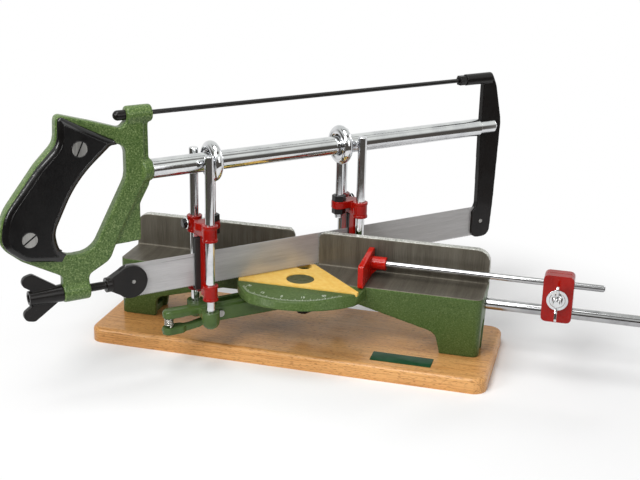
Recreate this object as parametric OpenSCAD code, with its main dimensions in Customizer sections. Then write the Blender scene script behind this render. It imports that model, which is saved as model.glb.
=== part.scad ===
// Hand mitre saw: a tensioned bow saw that slides through two lifting guides on a swing arm, over a
// cast bed with a sacrificial insert, two fences and an adjustable length stop.
// Origin: swing pivot axis at the underside of the board. +X along the fence, +Y to the back, +Z up.
// Pieces of the arm and the saw are drawn for a square cut, with the saw along +Y, and then turned.

/* [Board] */
// Length of the wooden board
board_l = 554; // [520:1:680]
// Width of the board
board_w = 184; // [150:1:240]
// Thickness of the board
board_t = 21; // [15:0.5:32]
// Radius of the board's corners in plan
board_corner_r = 18; // [8:1:30]
// Radius of the board's upper edges
board_edge_r = 6; // [1:0.5:7]
// How far the board and the feet stand to the left of the pivot
base_left = 8; // [0:1:20]
// How far the board stands behind the pivot
board_back = 3; // [0:1:10]

/* [Bed] */
// Length of the table
table_l = 506; // [420:1:520]
// Height of the bed above the board
bed_h = 93; // [85:1:115]
// Distance from the pivot axis to the table's front edge
table_front = 49; // [45:1:60]
// How far the front wall leans in on its way down
apron_lean = 25; // [0:1:28]
// Thickness of the table plate
table_t = 9; // [7:0.5:10]
// Thickness of the bed's walls
wall_t = 8; // [5:0.5:9]
// Radius of the bed's outer corners
bed_corner_r = 9; // [3:1:14]
// Width of each foot along the front
foot_w = 52; // [40:1:70]
// Distance from the pivot axis to the fence's face
fence_y = 12.5; // [10:0.5:16]
// Thickness of the fence
fence_t = 11; // [8:0.5:13]
// Height of the fence above the table
fence_h = 47; // [36:1:60]
// Radius of the fence's outer top corners
fence_outer_r = 18; // [5:1:30]
// Radius of the fence's inner top corners
fence_inner_r = 9; // [3:1:14]
// Half of the gap between the two fences
fence_gap = 16; // [14:0.5:22]

/* [Sector] */
// Radius of the mitre sector's round ends
fan_r = 88; // [84:1:95]
// Place of the sector's centre to the right of the pivot
fan_x = 11; // [0:1:14]
// Place of the sector's centre in front of the pivot
fan_y = 44; // [40:1:48]
// Radius of the sector's front edge about the pivot
front_r = 122.5; // [116:0.5:130]
// How far the front edge leans back on its way up
rim_slope = 6; // [0:0.5:9]
// Radius from the pivot to the row of index notches
index_r = 91; // [86:1:94]
// Depth of the sector below the table's surface
sector_t = 16.5; // [15:0.5:20]
// Distance from the pivot axis to the edge of the sloping scale face
ledge_y = 90; // [84:0.5:100]
// Depth of the sector's front strip below the table's surface
ledge_drop = 1.5; // [1:0.5:3]
// Height that the scale face loses on its way to the rim
scale_fall = 5.5; // [4:0.5:10]
// Depth of the index notches under the sector's rim
notch_depth = 2.8; // [2:0.2:4]
// Width of an index notch
notch_w = 6.4; // [5:0.2:9]

/* [Insert] */
// Thickness of the sacrificial insert
insert_t = 6; // [4:0.5:7]
// Distance from the pivot axis to the insert's front edge
insert_front = 73.5; // [66:0.5:78]
// Radius of the round opening over the pivot
pivot_eye_r = 10.5; // [9:0.5:11]
// Radius of the recess for the insert's screw
insert_hole_r = 18.8; // [12:0.2:20]

/* [Swing arm] */
// Mitre angle to the left at which the saw stands
mitre_rest = 45; // [0:1:45]
// Height of the arm's hub
hub_h = 30; // [24:1:34]
// Radius of the arm's hub
hub_r = 22; // [18:1:26]
// Radius of the pivot bolt's shank
pivot_r = 6; // [5:0.5:8]
// Radius of the bosses that hold the posts
post_boss_r = 12; // [10:0.5:14]
// Height of the post bosses
post_boss_h = 25; // [23:1:30]
// Distance from the pivot axis to the front posts
post_reach = 152.5; // [146:0.5:170]
// Length of the fixed thumb finger
finger_l = 52; // [44:1:64]

/* [Posts] */
// Radius of the posts
post_r = 6; // [5:0.25:6.5]
// Height of the posts above their sockets
post_l = 232.5; // [225:0.5:280]
// Half of the distance between two posts of a pair
post_half = 24; // [22:0.5:28]

/* [Index lever] */
// Thickness of the lever
lever_t = 10; // [8:0.5:12]
// Wire diameter of the lever's spring
spring_wire = 1.8; // [1.2:0.1:2.2]
// Outer diameter of the spring
spring_od = 12.4; // [10:0.2:14]
// Number of curls of the spring
spring_curls = 4; // [3:1:5]

/* [Guides] */
// Outer radius of the guide sleeves
sleeve_r = 10.2; // [9:0.1:11]
// Height of the lower sleeves
sleeve_low_h = 21; // [18:1:28]
// Height of the upper sleeves
sleeve_up_h = 22; // [20:1:30]
// Distance from the post line to the front eye's stem
eye_front = 14.5; // [14:0.5:20]
// Distance from the post line to the rear eye's stem
eye_rear = 20; // [14:0.5:24]
// Radius of the eye's stem
stem_r = 5.2; // [4:0.2:6]
// Radius of the eye's round section
eye_section_r = 7; // [5:0.5:7.5]
// Width of the hexagon of the eye's nuts across flats
eye_nut_af = 17; // [14:1:19]
// Radius of the lock screw's knob
knob_r = 7; // [6:0.5:9]

/* [Saw frame] */
// Radius of the chrome tube
tube_r = 12.5; // [11:0.5:14]
// Wall of the tube
tube_wall = 2; // [1.5:0.5:3]
// Length of the tube
tube_l = 504; // [440:1:600]
// Height of the tube's axis above the table
tube_rise = 167; // [160:1:185]
// Height of the tension rod above the tube's axis
rod_rise = 71.5; // [60:0.5:85]
// Radius of the tension rod
rod_r = 3; // [2.5:0.25:4]
// Distance from the pivot axis to the handle's face at the tube
handle_reach = 224; // [222:1:270]
// Thickness of the handle casting
handle_t = 15; // [12:1:18]
// Thickness of each grip scale at its crown
grip_t = 8.5; // [6:0.5:10]
// Thickness of the bow end's bar
bow_t = 9; // [6:0.5:10]

/* [Blade] */
// Width of the blade
blade_w = 45; // [36:1:54]
// Thickness of the blade
blade_t = 1; // [0.7:0.1:1.2]
// Pitch of the teeth
tooth_pitch = 3; // [2:0.25:4]
// Depth of the teeth
tooth_depth = 1.6; // [0.8:0.1:2]
// Radius of the tension stem
tension_r = 5; // [4:0.5:6]

/* [Length stop] */
// Radius of the lower rail
rail_r = 7.5; // [6:0.5:9]
// Length of the rail outside the bed
rail_l = 242; // [150:1:320]
// Radius of the stop rod
stop_rod_r = 4.5; // [3.5:0.5:6]
// Length of the stop rod
stop_rod_l = 313; // [220:1:340]
// Distance from the bed's end to the clamp
clamp_x = 73; // [20:1:95]
// Width of the clamp along the rail
clamp_w = 39; // [30:1:50]
// Height of the stop rod above the rail
rod_gap = 39; // [36:1:48]
// Width of the stop plate from front to back
plate_w = 69; // [40:1:69]

/* [Hidden] */
$fn = 64;
// Radial clearance of a shaft that turns or slides in its bore
run_fit = 0.05;
// Gap between flat faces that move past each other
face_gap = 0.2;
// Gap between pieces that move past each other freely
swing_gap = 0.9;
// Angles of the index notches on each side of the square cut
index_angles = [0, 15, 22.5, 30, 36, 45];

// Heights
table_z = board_t + bed_h;
rim_z = table_z - sector_t;
fan_top_z = table_z - ledge_drop;
insert_z = table_z - insert_t;
plate_z = table_z - table_t;
arm_top_z = rim_z - 7.5;
hub_z = arm_top_z - hub_h;
boss_top_z = arm_top_z - 5;
boss_z = boss_top_z - post_boss_h;
post_z = boss_z + 3;
blade_z = table_z + 0.8;
axis_z = blade_z + blade_w / 2;
tube_z = table_z + tube_rise;
rod_z = tube_z + rod_rise;
sleeve_low_z = table_z - 13;
sleeve_up_z = blade_z + blade_w + 22.2;
lug_z = sleeve_up_z + 10;
lug_h = 10;
rail_z = table_z - 20;
stop_z = rail_z + rod_gap;

// Places along the bed
half_l = table_l / 2;
foot_half_l = half_l + 4;
fence_back = fence_y + fence_t;
foot_front = table_front - apron_lean;
swing_half = table_front + 17 * sqrt(2) + 3;
rail_y = -5;
clamp_x0 = half_l + clamp_x;
clamp_mid = clamp_x0 + clamp_w / 2;
clamp_t = 24;
clamp_low = rail_z - rail_r - 3;
clamp_high = stop_z + stop_rod_r + 10;
bolt_r = 4;
bolt_z = (rail_z + rail_r + stop_z - stop_rod_r) / 2;
foot_mid = foot_half_l - foot_w / 2;
screw_r = 3;
insert_screw_at = [8, -46];

// Places along the saw
front_u = -post_reach;
rear_u = post_half + sqrt(2) * (fence_back + sleeve_r + swing_gap);
lever_u = front_u + 19;
lever_z = arm_top_z - 15;
tooth_r0 = index_r - 3.5;
tooth_r1 = index_r + 3.5;
tab_top_z = boss_top_z - 21.5;
tab_t = 9;
finger_z = boss_top_z - 8;
finger_t = 11;
spring_u = front_u - finger_l + 3;
tube_u = -handle_reach + 3;
bow_u = tube_u + tube_l;
pin_front_u = -handle_reach - 26;
pin_rear_u = bow_u + 15;
holder_u = pin_front_u - 3;
holder_r = blade_w / 2 - 1;
boss_front_u = -handle_reach - 83.5;
boss_rear_u = -handle_reach - 117.5;
stem_end_u = boss_rear_u - 34;
top_boss_u = [-handle_reach - 28.5, -handle_reach + 4.5];
blade_u0 = pin_front_u - 16;
blade_u1 = pin_rear_u + 9;
grip_face = handle_t / 2 + grip_t;
grip_lap = 2.5;
grip_screw_u = [-handle_reach - 91.5, -handle_reach - 157.5];
grip_screw_z = [tube_z + 39.5, axis_z + 79.5];
grip_screw_r = 9.3;
grip_crown_r = 170;
fin_t = 7;
holder_t = 12;
plug_r = 10;

// Outlines with round corners, given as [x, y, radius]
function unit(v) = v / norm(v);
function turned(v, a) = [v[0] * cos(a) - v[1] * sin(a), v[0] * sin(a) + v[1] * cos(a)];
function place(c) = [c[0], c[1]];
function corner_arc(before, corner, after, steps) =
    let (p = place(corner),
         to_before = unit(place(before) - p),
         to_after = unit(place(after) - p),
         half = acos(to_before * to_after) / 2,
         centre = p + unit(to_before + to_after) * corner[2] / sin(half),
         start = p + to_before * corner[2] / tan(half) - centre,
         side = cross(to_before, to_after) > 0 ? -1 : 1)
    [for (i = [0:steps]) centre + turned(start, side * (180 - 2 * half) * i / steps)];
function rounded(corners, steps = 6) =
    let (n = len(corners))
    [for (i = [0:n - 1])
        each corners[i][2] > 0
            ? corner_arc(corners[(i + n - 1) % n], corners[i], corners[(i + 1) % n], steps)
            : [place(corners[i])]];
function mirrored(points) = [for (i = [len(points) - 1:-1:0]) [-points[i][0], points[i][1], points[i][2]]];

// Turns a piece drawn for a square cut to the angle at which the saw stands
module in_saw() {
    rotate([0, 0, -mitre_rest]) children();
}

// Gives an outline drawn in (along the saw, height) a thickness across the saw
module across(t, at = 0) {
    rotate([90, 0, 90]) translate([0, 0, at - t / 2]) linear_extrude(t) children();
}

// Gives an outline drawn in (along the fence, height) a depth from front to back
module deep(y0, y1) {
    translate([0, y1, 0]) rotate([90, 0, 0]) linear_extrude(y1 - y0) children();
}

// Round bar along the saw
module along(u0, u1, r, z, x = 0, r2 = 0) {
    translate([x, u0, z]) rotate([-90, 0, 0]) cylinder(r1 = r, r2 = r2 > 0 ? r2 : r, h = u1 - u0);
}

// Round bar across the saw
module crosswise(x0, x1, r, u, z) {
    translate([x0, u, z]) rotate([0, 90, 0]) cylinder(r = r, h = x1 - x0);
}

// Round bar along the fence
module rail_bar(x0, x1, r, y, z) {
    translate([x0, y, z]) rotate([0, 90, 0]) cylinder(r = r, h = x1 - x0);
}

// Upright round bar
module upright(x, y, z0, z1, r) {
    translate([x, y, z0]) cylinder(r = r, h = z1 - z0);
}

// Outline with straight sides and two round ends between two points on one line
module capsule(p, q, r) {
    translate(p) circle(r);
    translate(q) circle(r);
    translate(p) rotate(atan2(q[1] - p[1], q[0] - p[0])) translate([0, -r]) square([norm(q - p), 2 * r]);
}

// Flat disc with a rounded upper edge
module puck(r, h, edge) {
    rotate_extrude() union() {
        square([r - edge, h]);
        square([r, h - edge]);
        translate([r - edge, h - edge]) intersection() {
            circle(edge);
            square(edge);
        }
    }
}

// Board
module base_board() {
    color("peru") difference() {
        translate([-base_left, board_back, 0]) hull() for (x = [-1, 1], y = [-1, 1])
            translate([x * (board_l / 2 - board_corner_r), y * (board_w / 2 - board_corner_r), 0])
                puck(board_corner_r, board_t, board_edge_r, $fn = 32);
        bed_screw_places() bed_screw_cut();
    }
}

// Bed
module bed_slab(half, front, z, h) {
    translate([0, 0, z]) linear_extrude(h)
        for (x = [-1, 1], y = [-front + bed_corner_r, fence_back - bed_corner_r])
            translate([x * (half - bed_corner_r), y]) circle(bed_corner_r, $fn = 32);
}

module bed_loft() {
    edge = 3;
    hull() {
        translate([-base_left, 0, 0]) bed_slab(foot_half_l, foot_front, board_t, edge);
        bed_slab(half_l, table_front, table_z - edge, edge);
    }
}

module bed_inside() {
    hull() {
        translate([-base_left - foot_half_l + wall_t, -foot_front + wall_t, board_t - 1])
            cube([2 * foot_half_l - 2 * wall_t, foot_front + fence_back - 2 * wall_t, 1]);
        translate([-half_l + wall_t, -table_front + wall_t, plate_z - 1])
            cube([table_l - 2 * wall_t, table_front + fence_back - 2 * wall_t, 1]);
    }
}

module arch(crown_half, crown_z) {
    foot_in = foot_half_l - foot_w;
    side = [[foot_in, board_t - 1, 0], [foot_in - 6, board_t + 33, 16], [crown_half, crown_z, 10]];
    translate([-base_left, 0]) polygon(rounded(concat(side, mirrored(side))));
}

module bed_shell() {
    difference() {
        bed_loft();
        bed_inside();
        deep(-table_front - 1, -foot_front / 2) arch(fan_r + 8, rim_z - 13);
        deep(-table_front - 1, -foot_front / 2)
            translate([-swing_half, 0]) square([2 * swing_half, rim_z]);
        deep(fence_y, fence_back + 1) arch(fan_r + 8, rim_z - 1.5);
        rotate([90, 0, 90]) translate([0, 0, -2 * half_l]) linear_extrude(4 * half_l) end_arch();
    }
}

module end_arch() {
    low = -foot_front + 15;
    high = fence_back - 15;
    polygon(rounded([[low, board_t - 1, 0], [high, board_t - 1, 0], [high, rail_z - 25, 7],
        [low - 4, rail_z - 25, 7]]));
}

module fences() {
    side = [[fence_gap, plate_z, 0], [fence_gap, table_z + fence_h, fence_inner_r],
        [half_l, table_z + fence_h, fence_outer_r], [half_l, plate_z, 0]];
    difference() {
        for (m = [0, 1]) mirror([m, 0, 0]) deep(fence_y, fence_back) polygon(rounded(side, 10));
        translate([0, 0, table_z]) linear_extrude(fence_h + 1)
            polygon([[-fence_gap, fence_y], [fence_gap, fence_y],
                [fence_gap + fence_t + 1, fence_back + 1], [-fence_gap - fence_t - 1, fence_back + 1]]);
    }
}

module sector_disc() {
    rim_y = -fan_y - fan_r;
    difference() {
        intersection() {
            translate([fan_x, -fan_y, rim_z]) cylinder(r = fan_r, h = sector_t - ledge_drop);
            translate([0, 0, rim_z])
                cylinder(r1 = front_r, r2 = front_r - rim_slope, h = sector_t - ledge_drop);
        }
        translate([fan_x - fan_r, fence_y, rim_z - 1]) cube([2 * fan_r, 2 * fan_r, sector_t + 2]);
        rotate([90, 0, 90]) translate([0, 0, fan_x - fan_r]) linear_extrude(2 * fan_r)
            polygon([[-ledge_y, fan_top_z], [rim_y, fan_top_z - scale_fall], [rim_y, table_z]]);
        translate([0, 0, rim_z - 1]) linear_extrude(plate_z - rim_z + 1) difference() {
            circle(tooth_r0 - 8);
            circle(hub_r + 4);
            translate([-fan_r, fence_y - 6]) square(2 * fan_r);
        }
        for (a = index_angles, s = [-1, 1]) rotate([0, 0, s * a])
            translate([-notch_w / 2, -tooth_r1 - 4, rim_z - 1])
                cube([notch_w, tooth_r1 - tooth_r0 + 7, notch_depth + 1]);
    }
}

module insert_outline(gap) {
    top_half = fence_y - gap;
    front_half = 2 * fence_y + insert_front - gap;
    intersection() {
        polygon([[-top_half, fence_y - gap], [top_half, fence_y - gap],
            [front_half, gap - insert_front], [-front_half, gap - insert_front]]);
        union() {
            translate([fan_x, -fan_y]) circle(fan_r - 1.5 - gap);
            translate([-fan_r, -fan_y]) square([2 * fan_r, fan_r]);
        }
    }
}

module bed_screw_places() {
    for (x = [-1, 1], y = [-foot_front + 13, fence_back - 13])
        translate([x * foot_mid - base_left, y, 0]) children();
}

module bed_screw_cut() {
    cylinder(r = screw_r + 0.2, h = board_t + 1);
    translate([0, 0, -0.01]) cylinder(r1 = 3 * screw_r, r2 = screw_r, h = 2 * screw_r);
}

module bed_casting() {
    color("darkseagreen") difference() {
        union() {
            bed_shell();
            fences();
            sector_disc();
            upright(0, 0, arm_top_z + face_gap, plate_z, hub_r - 2);
            for (x = [-1, 1])
                translate([x * foot_mid - base_left - foot_w / 2 + 4, -foot_front + 4, board_t])
                    cube([foot_w - 8, foot_front + fence_back - 6, 9]);
            for (x = [-1, 1]) translate([x * half_l / 2 - 3, -table_front + 1.5 * wall_t, plate_z - 18])
                cube([6, table_front + fence_back - 2 * wall_t, 19]);
            rail_bar(half_l - 48, half_l - 2, rail_r + 6, rail_y, rail_z);
            translate([half_l - 32, rail_y - 7, rail_z - rail_r - 9]) cube([16, 14, rail_r + 9]);
        }
        translate([0, 0, insert_z]) linear_extrude(insert_t + 1) insert_outline(0);
        upright(0, 0, insert_z - 9, insert_z + 1, pivot_eye_r - 0.5);
        upright(0, 0, 0, table_z, pivot_r + run_fit);
        translate(insert_screw_at) upright(0, 0, rim_z, insert_z + 1, screw_r);
        rail_bar(half_l - 40, half_l + 1, rail_r, rail_y, rail_z);
        upright(half_l - 24, rail_y, 0, rail_z, screw_r + 1);
        bed_screw_places() upright(0, 0, 0, board_t + 10, screw_r);
    }
}

module bed_screws() {
    color("dimgray") bed_screw_places() {
        upright(0, 0, 1, board_t + 8, screw_r - 0.02);
        translate([0, 0, 0.8]) cylinder(r1 = 3 * screw_r - 1.2, r2 = screw_r - 0.1, h = 2 * screw_r - 1.2);
    }
}

module insert_plate() {
    color("goldenrod") difference() {
        translate([0, 0, insert_z]) linear_extrude(insert_t) insert_outline(face_gap);
        upright(0, 0, insert_z - 1, table_z + 1, pivot_eye_r);
        translate(insert_screw_at) upright(0, 0, insert_z - 1, table_z + 1, insert_hole_r);
    }
}

module insert_screw() {
    head_r = insert_hole_r - 0.6;
    head_top = table_z - 1.2;
    color("darkolivegreen") translate(insert_screw_at) difference() {
        union() {
            upright(0, 0, insert_z, head_top, head_r);
            upright(0, 0, plate_z - 2, insert_z, screw_r - 0.02);
        }
        translate([0, 0, head_top - 1]) cylinder(r1 = head_r - 5, r2 = head_r - 2, h = 1.01);
        translate([-head_r + 7, -1.2, head_top - 3]) cube([2 * head_r - 14, 2.4, 4]);
    }
}

// Pivot
module pivot_bolt() {
    color("dimgray") difference() {
        union() {
            upright(0, 0, insert_z - 9, insert_z - 1, pivot_eye_r - 1.2);
            upright(0, 0, hub_z - 15, insert_z - 8, pivot_r);
        }
        translate([0, 0, insert_z - 5]) cylinder(r = pivot_r * 0.8, h = 5, $fn = 6);
    }
}

module pivot_washer() {
    color("silver") difference() {
        upright(0, 0, hub_z - 3, hub_z - face_gap, 2 * pivot_r + 2);
        upright(0, 0, hub_z - 4, hub_z, pivot_r + run_fit);
    }
}

module pivot_nut() {
    color("dimgray") difference() {
        translate([0, 0, hub_z - 13]) cylinder(r = 11, h = 10, $fn = 6);
        upright(0, 0, hub_z - 14, hub_z, pivot_r + run_fit);
    }
}

// Swing arm
module cross_bar(u) {
    translate([0, 0, boss_z + 12.5]) linear_extrude(boss_top_z - boss_z - 12.5)
        capsule([-post_half, u], [post_half, u], 9);
    for (x = [-1, 1]) {
        upright(x * post_half, u, boss_z + post_boss_r, boss_top_z, post_boss_r);
        translate([x * post_half, u, boss_z + post_boss_r]) sphere(post_boss_r);
    }
}

module arm_beam() {
    translate([0, 0, hub_z + 4]) linear_extrude(boss_top_z - hub_z - 5)
        polygon([[-12.5, front_u + 4], [12.5, front_u + 4], [17, -hub_r], [17, hub_r], [13, rear_u],
            [-13, rear_u], [-17, hub_r], [-17, -hub_r]]);
    translate([0, 0, boss_top_z - 2]) linear_extrude(arm_top_z - boss_top_z + 1)
        capsule([0, front_u + 26], [0, -hub_r - 24], 11);
}

module thumb_finger() {
    hull() {
        translate([0, front_u, finger_z]) puck(8, finger_t - 1, 4, $fn = 32);
        translate([0, front_u - finger_l + 4, finger_z]) puck(9.5, finger_t, 5, $fn = 32);
    }
}

module swing_arm() {
    slot = lever_t / 2 + 0.5;
    color("seagreen") in_saw() difference() {
        union() {
            upright(0, 0, hub_z, arm_top_z, hub_r);
            arm_beam();
            cross_bar(front_u);
            cross_bar(rear_u);
            thumb_finger();
        }
        upright(0, 0, 0, table_z, pivot_r + run_fit);
        for (u = [front_u, rear_u], x = [-1, 1]) upright(x * post_half, u, post_z, table_z, post_r);
        translate([-slot, front_u + 9, 0]) cube([2 * slot, -tooth_r0 + 6 - front_u - 9, table_z]);
        translate([-slot, front_u - 20, 0]) cube([2 * slot, 30, boss_z + 13]);
        crosswise(-30, 30, 3, lever_u, lever_z);
    }
}

module post(u, side) {
    color("gainsboro") in_saw() difference() {
        upright(side * post_half, u, post_z, post_z + post_l, post_r);
        translate([side * post_half, u, post_z + post_l - 1]) rotate_extrude()
            polygon([[post_r - 1, 1.01], [post_r + 1, 1.01], [post_r + 1, -1]]);
    }
}

module post_front_near() { post(front_u, 1); }
module post_front_far() { post(front_u, -1); }
module post_rear_near() { post(rear_u, 1); }
module post_rear_far() { post(rear_u, -1); }

module lever_pin() {
    color("dimgray") in_saw() union() {
        crosswise(-15, 15, 3, lever_u, lever_z);
        crosswise(14, 16.5, 4.6, lever_u, lever_z);
    }
}

// Index lever
module lever_profile() {
    tab_u = spring_u - 9;
    tooth_z = rim_z - 0.4;
    polygon(rounded([[tab_u, tab_top_z - tab_t, 4], [front_u - 28, tab_top_z - tab_t, 10],
        [front_u - 8, tab_top_z - tab_t + 2, 12], [lever_u + 5, lever_z - 8, 8],
        [-tooth_r0 - 10, lever_z - 2, 10], [-tooth_r0, tooth_z - 16, 6],
        [-tooth_r0, tooth_z, 1], [-tooth_r1, tooth_z, 1], [-tooth_r1 - 3, tooth_z - 13, 5],
        [lever_u, lever_z + 7, 8], [lever_u - 13, lever_z - 7, 7], [front_u - 18, tab_top_z, 10],
        [tab_u, tab_top_z, 4]]));
}

module index_lever() {
    tooth_slim = (lever_t - notch_w) / 2 + 0.7;
    color("seagreen") in_saw() difference() {
        union() {
            across(lever_t) lever_profile();
            translate([0, 0, tab_top_z - tab_t]) linear_extrude(tab_t)
                capsule([0, spring_u], [0, spring_u + 14], 9);
        }
        crosswise(-lever_t, lever_t, 3 + run_fit, lever_u, lever_z);
        for (x = [-1, 1]) translate([x * (lever_t / 2 - tooth_slim / 2), -(tooth_r0 + tooth_r1) / 2, rim_z])
            cube([tooth_slim + 0.01, tooth_r1 - tooth_r0 + 6, 10], center = true);
    }
}

// Spring as one wire: a straight end, the curls and a straight end
spring_mean_r = (spring_od - spring_wire) / 2;
spring_z0 = tab_top_z + 0.05;
spring_z1 = finger_z - 0.05;
curl_z0 = spring_z0 + spring_wire;
curl_z1 = spring_z1 - spring_wire;
curl_steps = 8 * spring_curls;
wire_sides = 6;
function curl_point(i) =
    [spring_mean_r * cos(360 * i / 8), spring_mean_r * sin(360 * i / 8),
     curl_z0 + (curl_z1 - curl_z0) * i / curl_steps];
spring_path = concat([[spring_mean_r, 0, spring_z0]], [for (i = [0:curl_steps]) curl_point(i)],
    [[spring_mean_r, 0, spring_z1]]);
function wire_dir(path, i) =
    let (n = len(path))
    i == 0 || i == n - 1 ? [0, 0, 1] : unit(path[i + 1] - path[i - 1]);
function wire_ring(path, i) =
    let (dir = wire_dir(path, i),
         out = unit([path[i][0], path[i][1], 0]),
         flat = unit(out - dir * (out * dir)),
         side = cross(dir, flat))
    [for (k = [0:wire_sides - 1])
        path[i] + spring_wire / 2 * (flat * cos(360 * k / wire_sides) + side * sin(360 * k / wire_sides))];
function least_gap(path, far) =
    min([for (i = [0:len(path) - 1], j = [i + far:1:len(path) - 1]) norm(path[i] - path[j])]) - spring_wire;
echo(spring_least_gap = least_gap(spring_path, 5));

module wire(path) {
    n = len(path);
    last = n - 1;
    polyhedron(points = [for (i = [0:last]) each wire_ring(path, i)],
        faces = concat(
            [for (k = [1:wire_sides - 2]) [0, k + 1, k]],
            [for (i = [0:last - 1], k = [0:wire_sides - 1])
                [i * wire_sides + k, i * wire_sides + (k + 1) % wire_sides, (i + 1) * wire_sides + k]],
            [for (i = [0:last - 1], k = [0:wire_sides - 1])
                [i * wire_sides + (k + 1) % wire_sides, (i + 1) * wire_sides + (k + 1) % wire_sides,
                 (i + 1) * wire_sides + k]],
            [for (k = [1:wire_sides - 2])
                [last * wire_sides, last * wire_sides + k, last * wire_sides + k + 1]]));
}

module lever_spring() {
    color("gray") in_saw() translate([0, spring_u, 0]) wire(spring_path);
}

// Guides: drawn with the post line on X and the pivot towards +Y
module guide_place(rear) {
    in_saw() translate([0, rear ? rear_u : front_u, 0]) mirror([0, rear ? 1 : 0, 0]) children();
}

liner_t = 3.3;
liner_x = blade_t / 2 + 0.4;
web_x = liner_x + liner_t;
web_w = post_half - (sleeve_r + post_r) / 2 - web_x;
web_half = 5;
knob_z = sleeve_up_z + 12;
knob_y = sleeve_r;
lock_r = 2.5;

module sleeve(h) {
    lip = 3;
    neck_r = sleeve_r - 0.8;
    rotate_extrude() polygon([[0, 0], [sleeve_r, 0], [sleeve_r, lip], [neck_r, lip + 1],
        [neck_r, h - lip - 1],
        [sleeve_r, h - lip], [sleeve_r, h], [0, h]]);
}

module guide(eye_offset) {
    difference() {
        union() {
            for (x = [-1, 1]) {
                translate([x * post_half, 0, sleeve_low_z]) sleeve(sleeve_low_h);
                translate([x * post_half, 0, sleeve_up_z]) sleeve(sleeve_up_h);
                translate([x * (web_x + web_w / 2) - web_w / 2, -web_half, sleeve_low_z + 2])
                    cube([web_w, 2 * web_half, sleeve_up_z - sleeve_low_z]);
            }
            translate([-post_half, -6, sleeve_up_z + 1]) cube([2 * post_half, 12, sleeve_up_h - 5]);
            translate([0, 0, lug_z]) linear_extrude(lug_h) capsule([0, 0], [0, eye_offset], 10.5);
            translate([-post_half, 0, knob_z]) rotate([90, 0, 0]) cylinder(r = knob_r - 1, h = knob_y);
        }
        for (x = [-1, 1]) upright(x * post_half, 0, 0, 2 * tube_z, post_r + run_fit);
        upright(0, eye_offset, 0, 2 * tube_z, stem_r + run_fit);
        translate([-post_half, 0, knob_z])
            rotate([90, 0, 0]) cylinder(r = lock_r + run_fit, h = knob_y + 1);
    }
}

module liners() {
    for (x = [-1, 1]) translate([x * (liner_x + liner_t / 2), 0, 0])
        translate([-liner_t / 2, -web_half - 7, sleeve_low_z + 9])
            cube([liner_t, 2 * web_half + 7, sleeve_up_z - sleeve_low_z - 10]);
}

module eye(eye_offset) {
    ring_r = tube_r + 2 * run_fit + eye_section_r;
    union() {
        translate([0, eye_offset, tube_z]) rotate([90, 0, 0]) rotate_extrude()
            translate([ring_r, 0]) circle(eye_section_r);
        upright(0, eye_offset, sleeve_up_z - 4, tube_z - ring_r, stem_r);
    }
}

module eye_nuts(eye_offset) {
    nut_r = eye_nut_af / sqrt(3);
    for (z = [lug_z - 8, lug_z + lug_h]) difference() {
        translate([0, eye_offset, z]) cylinder(r = nut_r, h = 8, $fn = 6);
        upright(0, eye_offset, z - 1, z + 9, stem_r + run_fit);
    }
}

module lock_screw() {
    translate([-post_half, -post_r - 0.3, knob_z]) rotate([90, 0, 0]) union() {
        cylinder(r = lock_r, h = knob_y - post_r + 1);
        translate([0, 0, knob_y - post_r]) rotate_extrude()
            polygon([[0, 0.4], [knob_r, 0.4], [knob_r, 2], [knob_r - 0.8, 2.6],
                [knob_r - 0.8, 6], [knob_r - 2, 7], [0, 7]]);
    }
}

module front_guide() { color("firebrick") guide_place(false) guide(eye_front); }
module front_liners() { color("black") guide_place(false) liners(); }
module front_eye() { color("gainsboro") guide_place(false) eye(eye_front); }
module front_eye_nuts() { color("black") guide_place(false) eye_nuts(eye_front); }
module front_lock_screw() { color("black") guide_place(false) lock_screw(); }
module rear_guide() { color("firebrick") guide_place(true) guide(eye_rear); }
module rear_liners() { color("black") guide_place(true) liners(); }
module rear_eye() { color("gainsboro") guide_place(true) eye(eye_rear); }
module rear_eye_nuts() { color("black") guide_place(true) eye_nuts(eye_rear); }
module rear_lock_screw() { color("black") guide_place(true) lock_screw(); }

// Handle: points are measured from the tube's face, and from the tube's or the blade's axis
function high(du, dz, r = 0) = [-handle_reach + du, tube_z + dz, r];
function low(du, dz, r = 0) = [-handle_reach + du, axis_z + dz, r];

module handle_outline() {
    polygon(rounded([high(-116, 82, 6), high(-118, 47, 25), high(-143, 22, 80), high(-186, -33, 60),
        low(-193, 73, 26), low(-166, 50, 30), low(-117, 23, 8), low(-117, 0), low(-84, 0), low(-84, 20, 8),
        low(-56, 35, 20), low(-41, 70, 40), high(-7, -13, 20), high(-7, rod_rise - 8),
        high(-30, rod_rise - 8), high(-36, 57, 6), high(-69, 68)]));
}

module handle_opening() {
    polygon(rounded([high(-31, 38, 13), high(-53, 38, 8), high(-98, 0, 150), low(-128, 82, 30),
        low(-121, 48.5, 22), low(-78, 49.5, 28), high(-31, -6, 30)], 8));
}

module handle_fin() {
    polygon(rounded([high(-12, rod_rise - 8), high(-12, -13), low(-46, 72), low(-52, 52), low(-13, 53, 3),
        high(-13, -42, 3), high(0, -19, 3), high(0, rod_rise - 8)]));
}

module handle_casting() {
    color("forestgreen") in_saw() difference() {
        union() {
            across(handle_t) difference() {
                handle_outline();
                handle_opening();
            }
            across(fin_t) handle_fin();
            along(top_boss_u[0], top_boss_u[1], 11, rod_z);
            along(boss_rear_u, boss_front_u, 12.5, axis_z);
            along(-handle_reach - 10, tube_u, tube_r + 2.5, tube_z, r2 = tube_r + 1.5);
            along(-handle_reach, tube_u + 32, tube_r - tube_wall, tube_z);
        }
        along(top_boss_u[0] - 1, top_boss_u[1] + 1, rod_r, rod_z);
        along(boss_rear_u - 1, boss_front_u + 1, tension_r + run_fit, axis_z);
        for (i = [0, 1]) crosswise(-handle_t, handle_t, screw_r, grip_screw_u[i], grip_screw_z[i]);
    }
}

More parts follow.
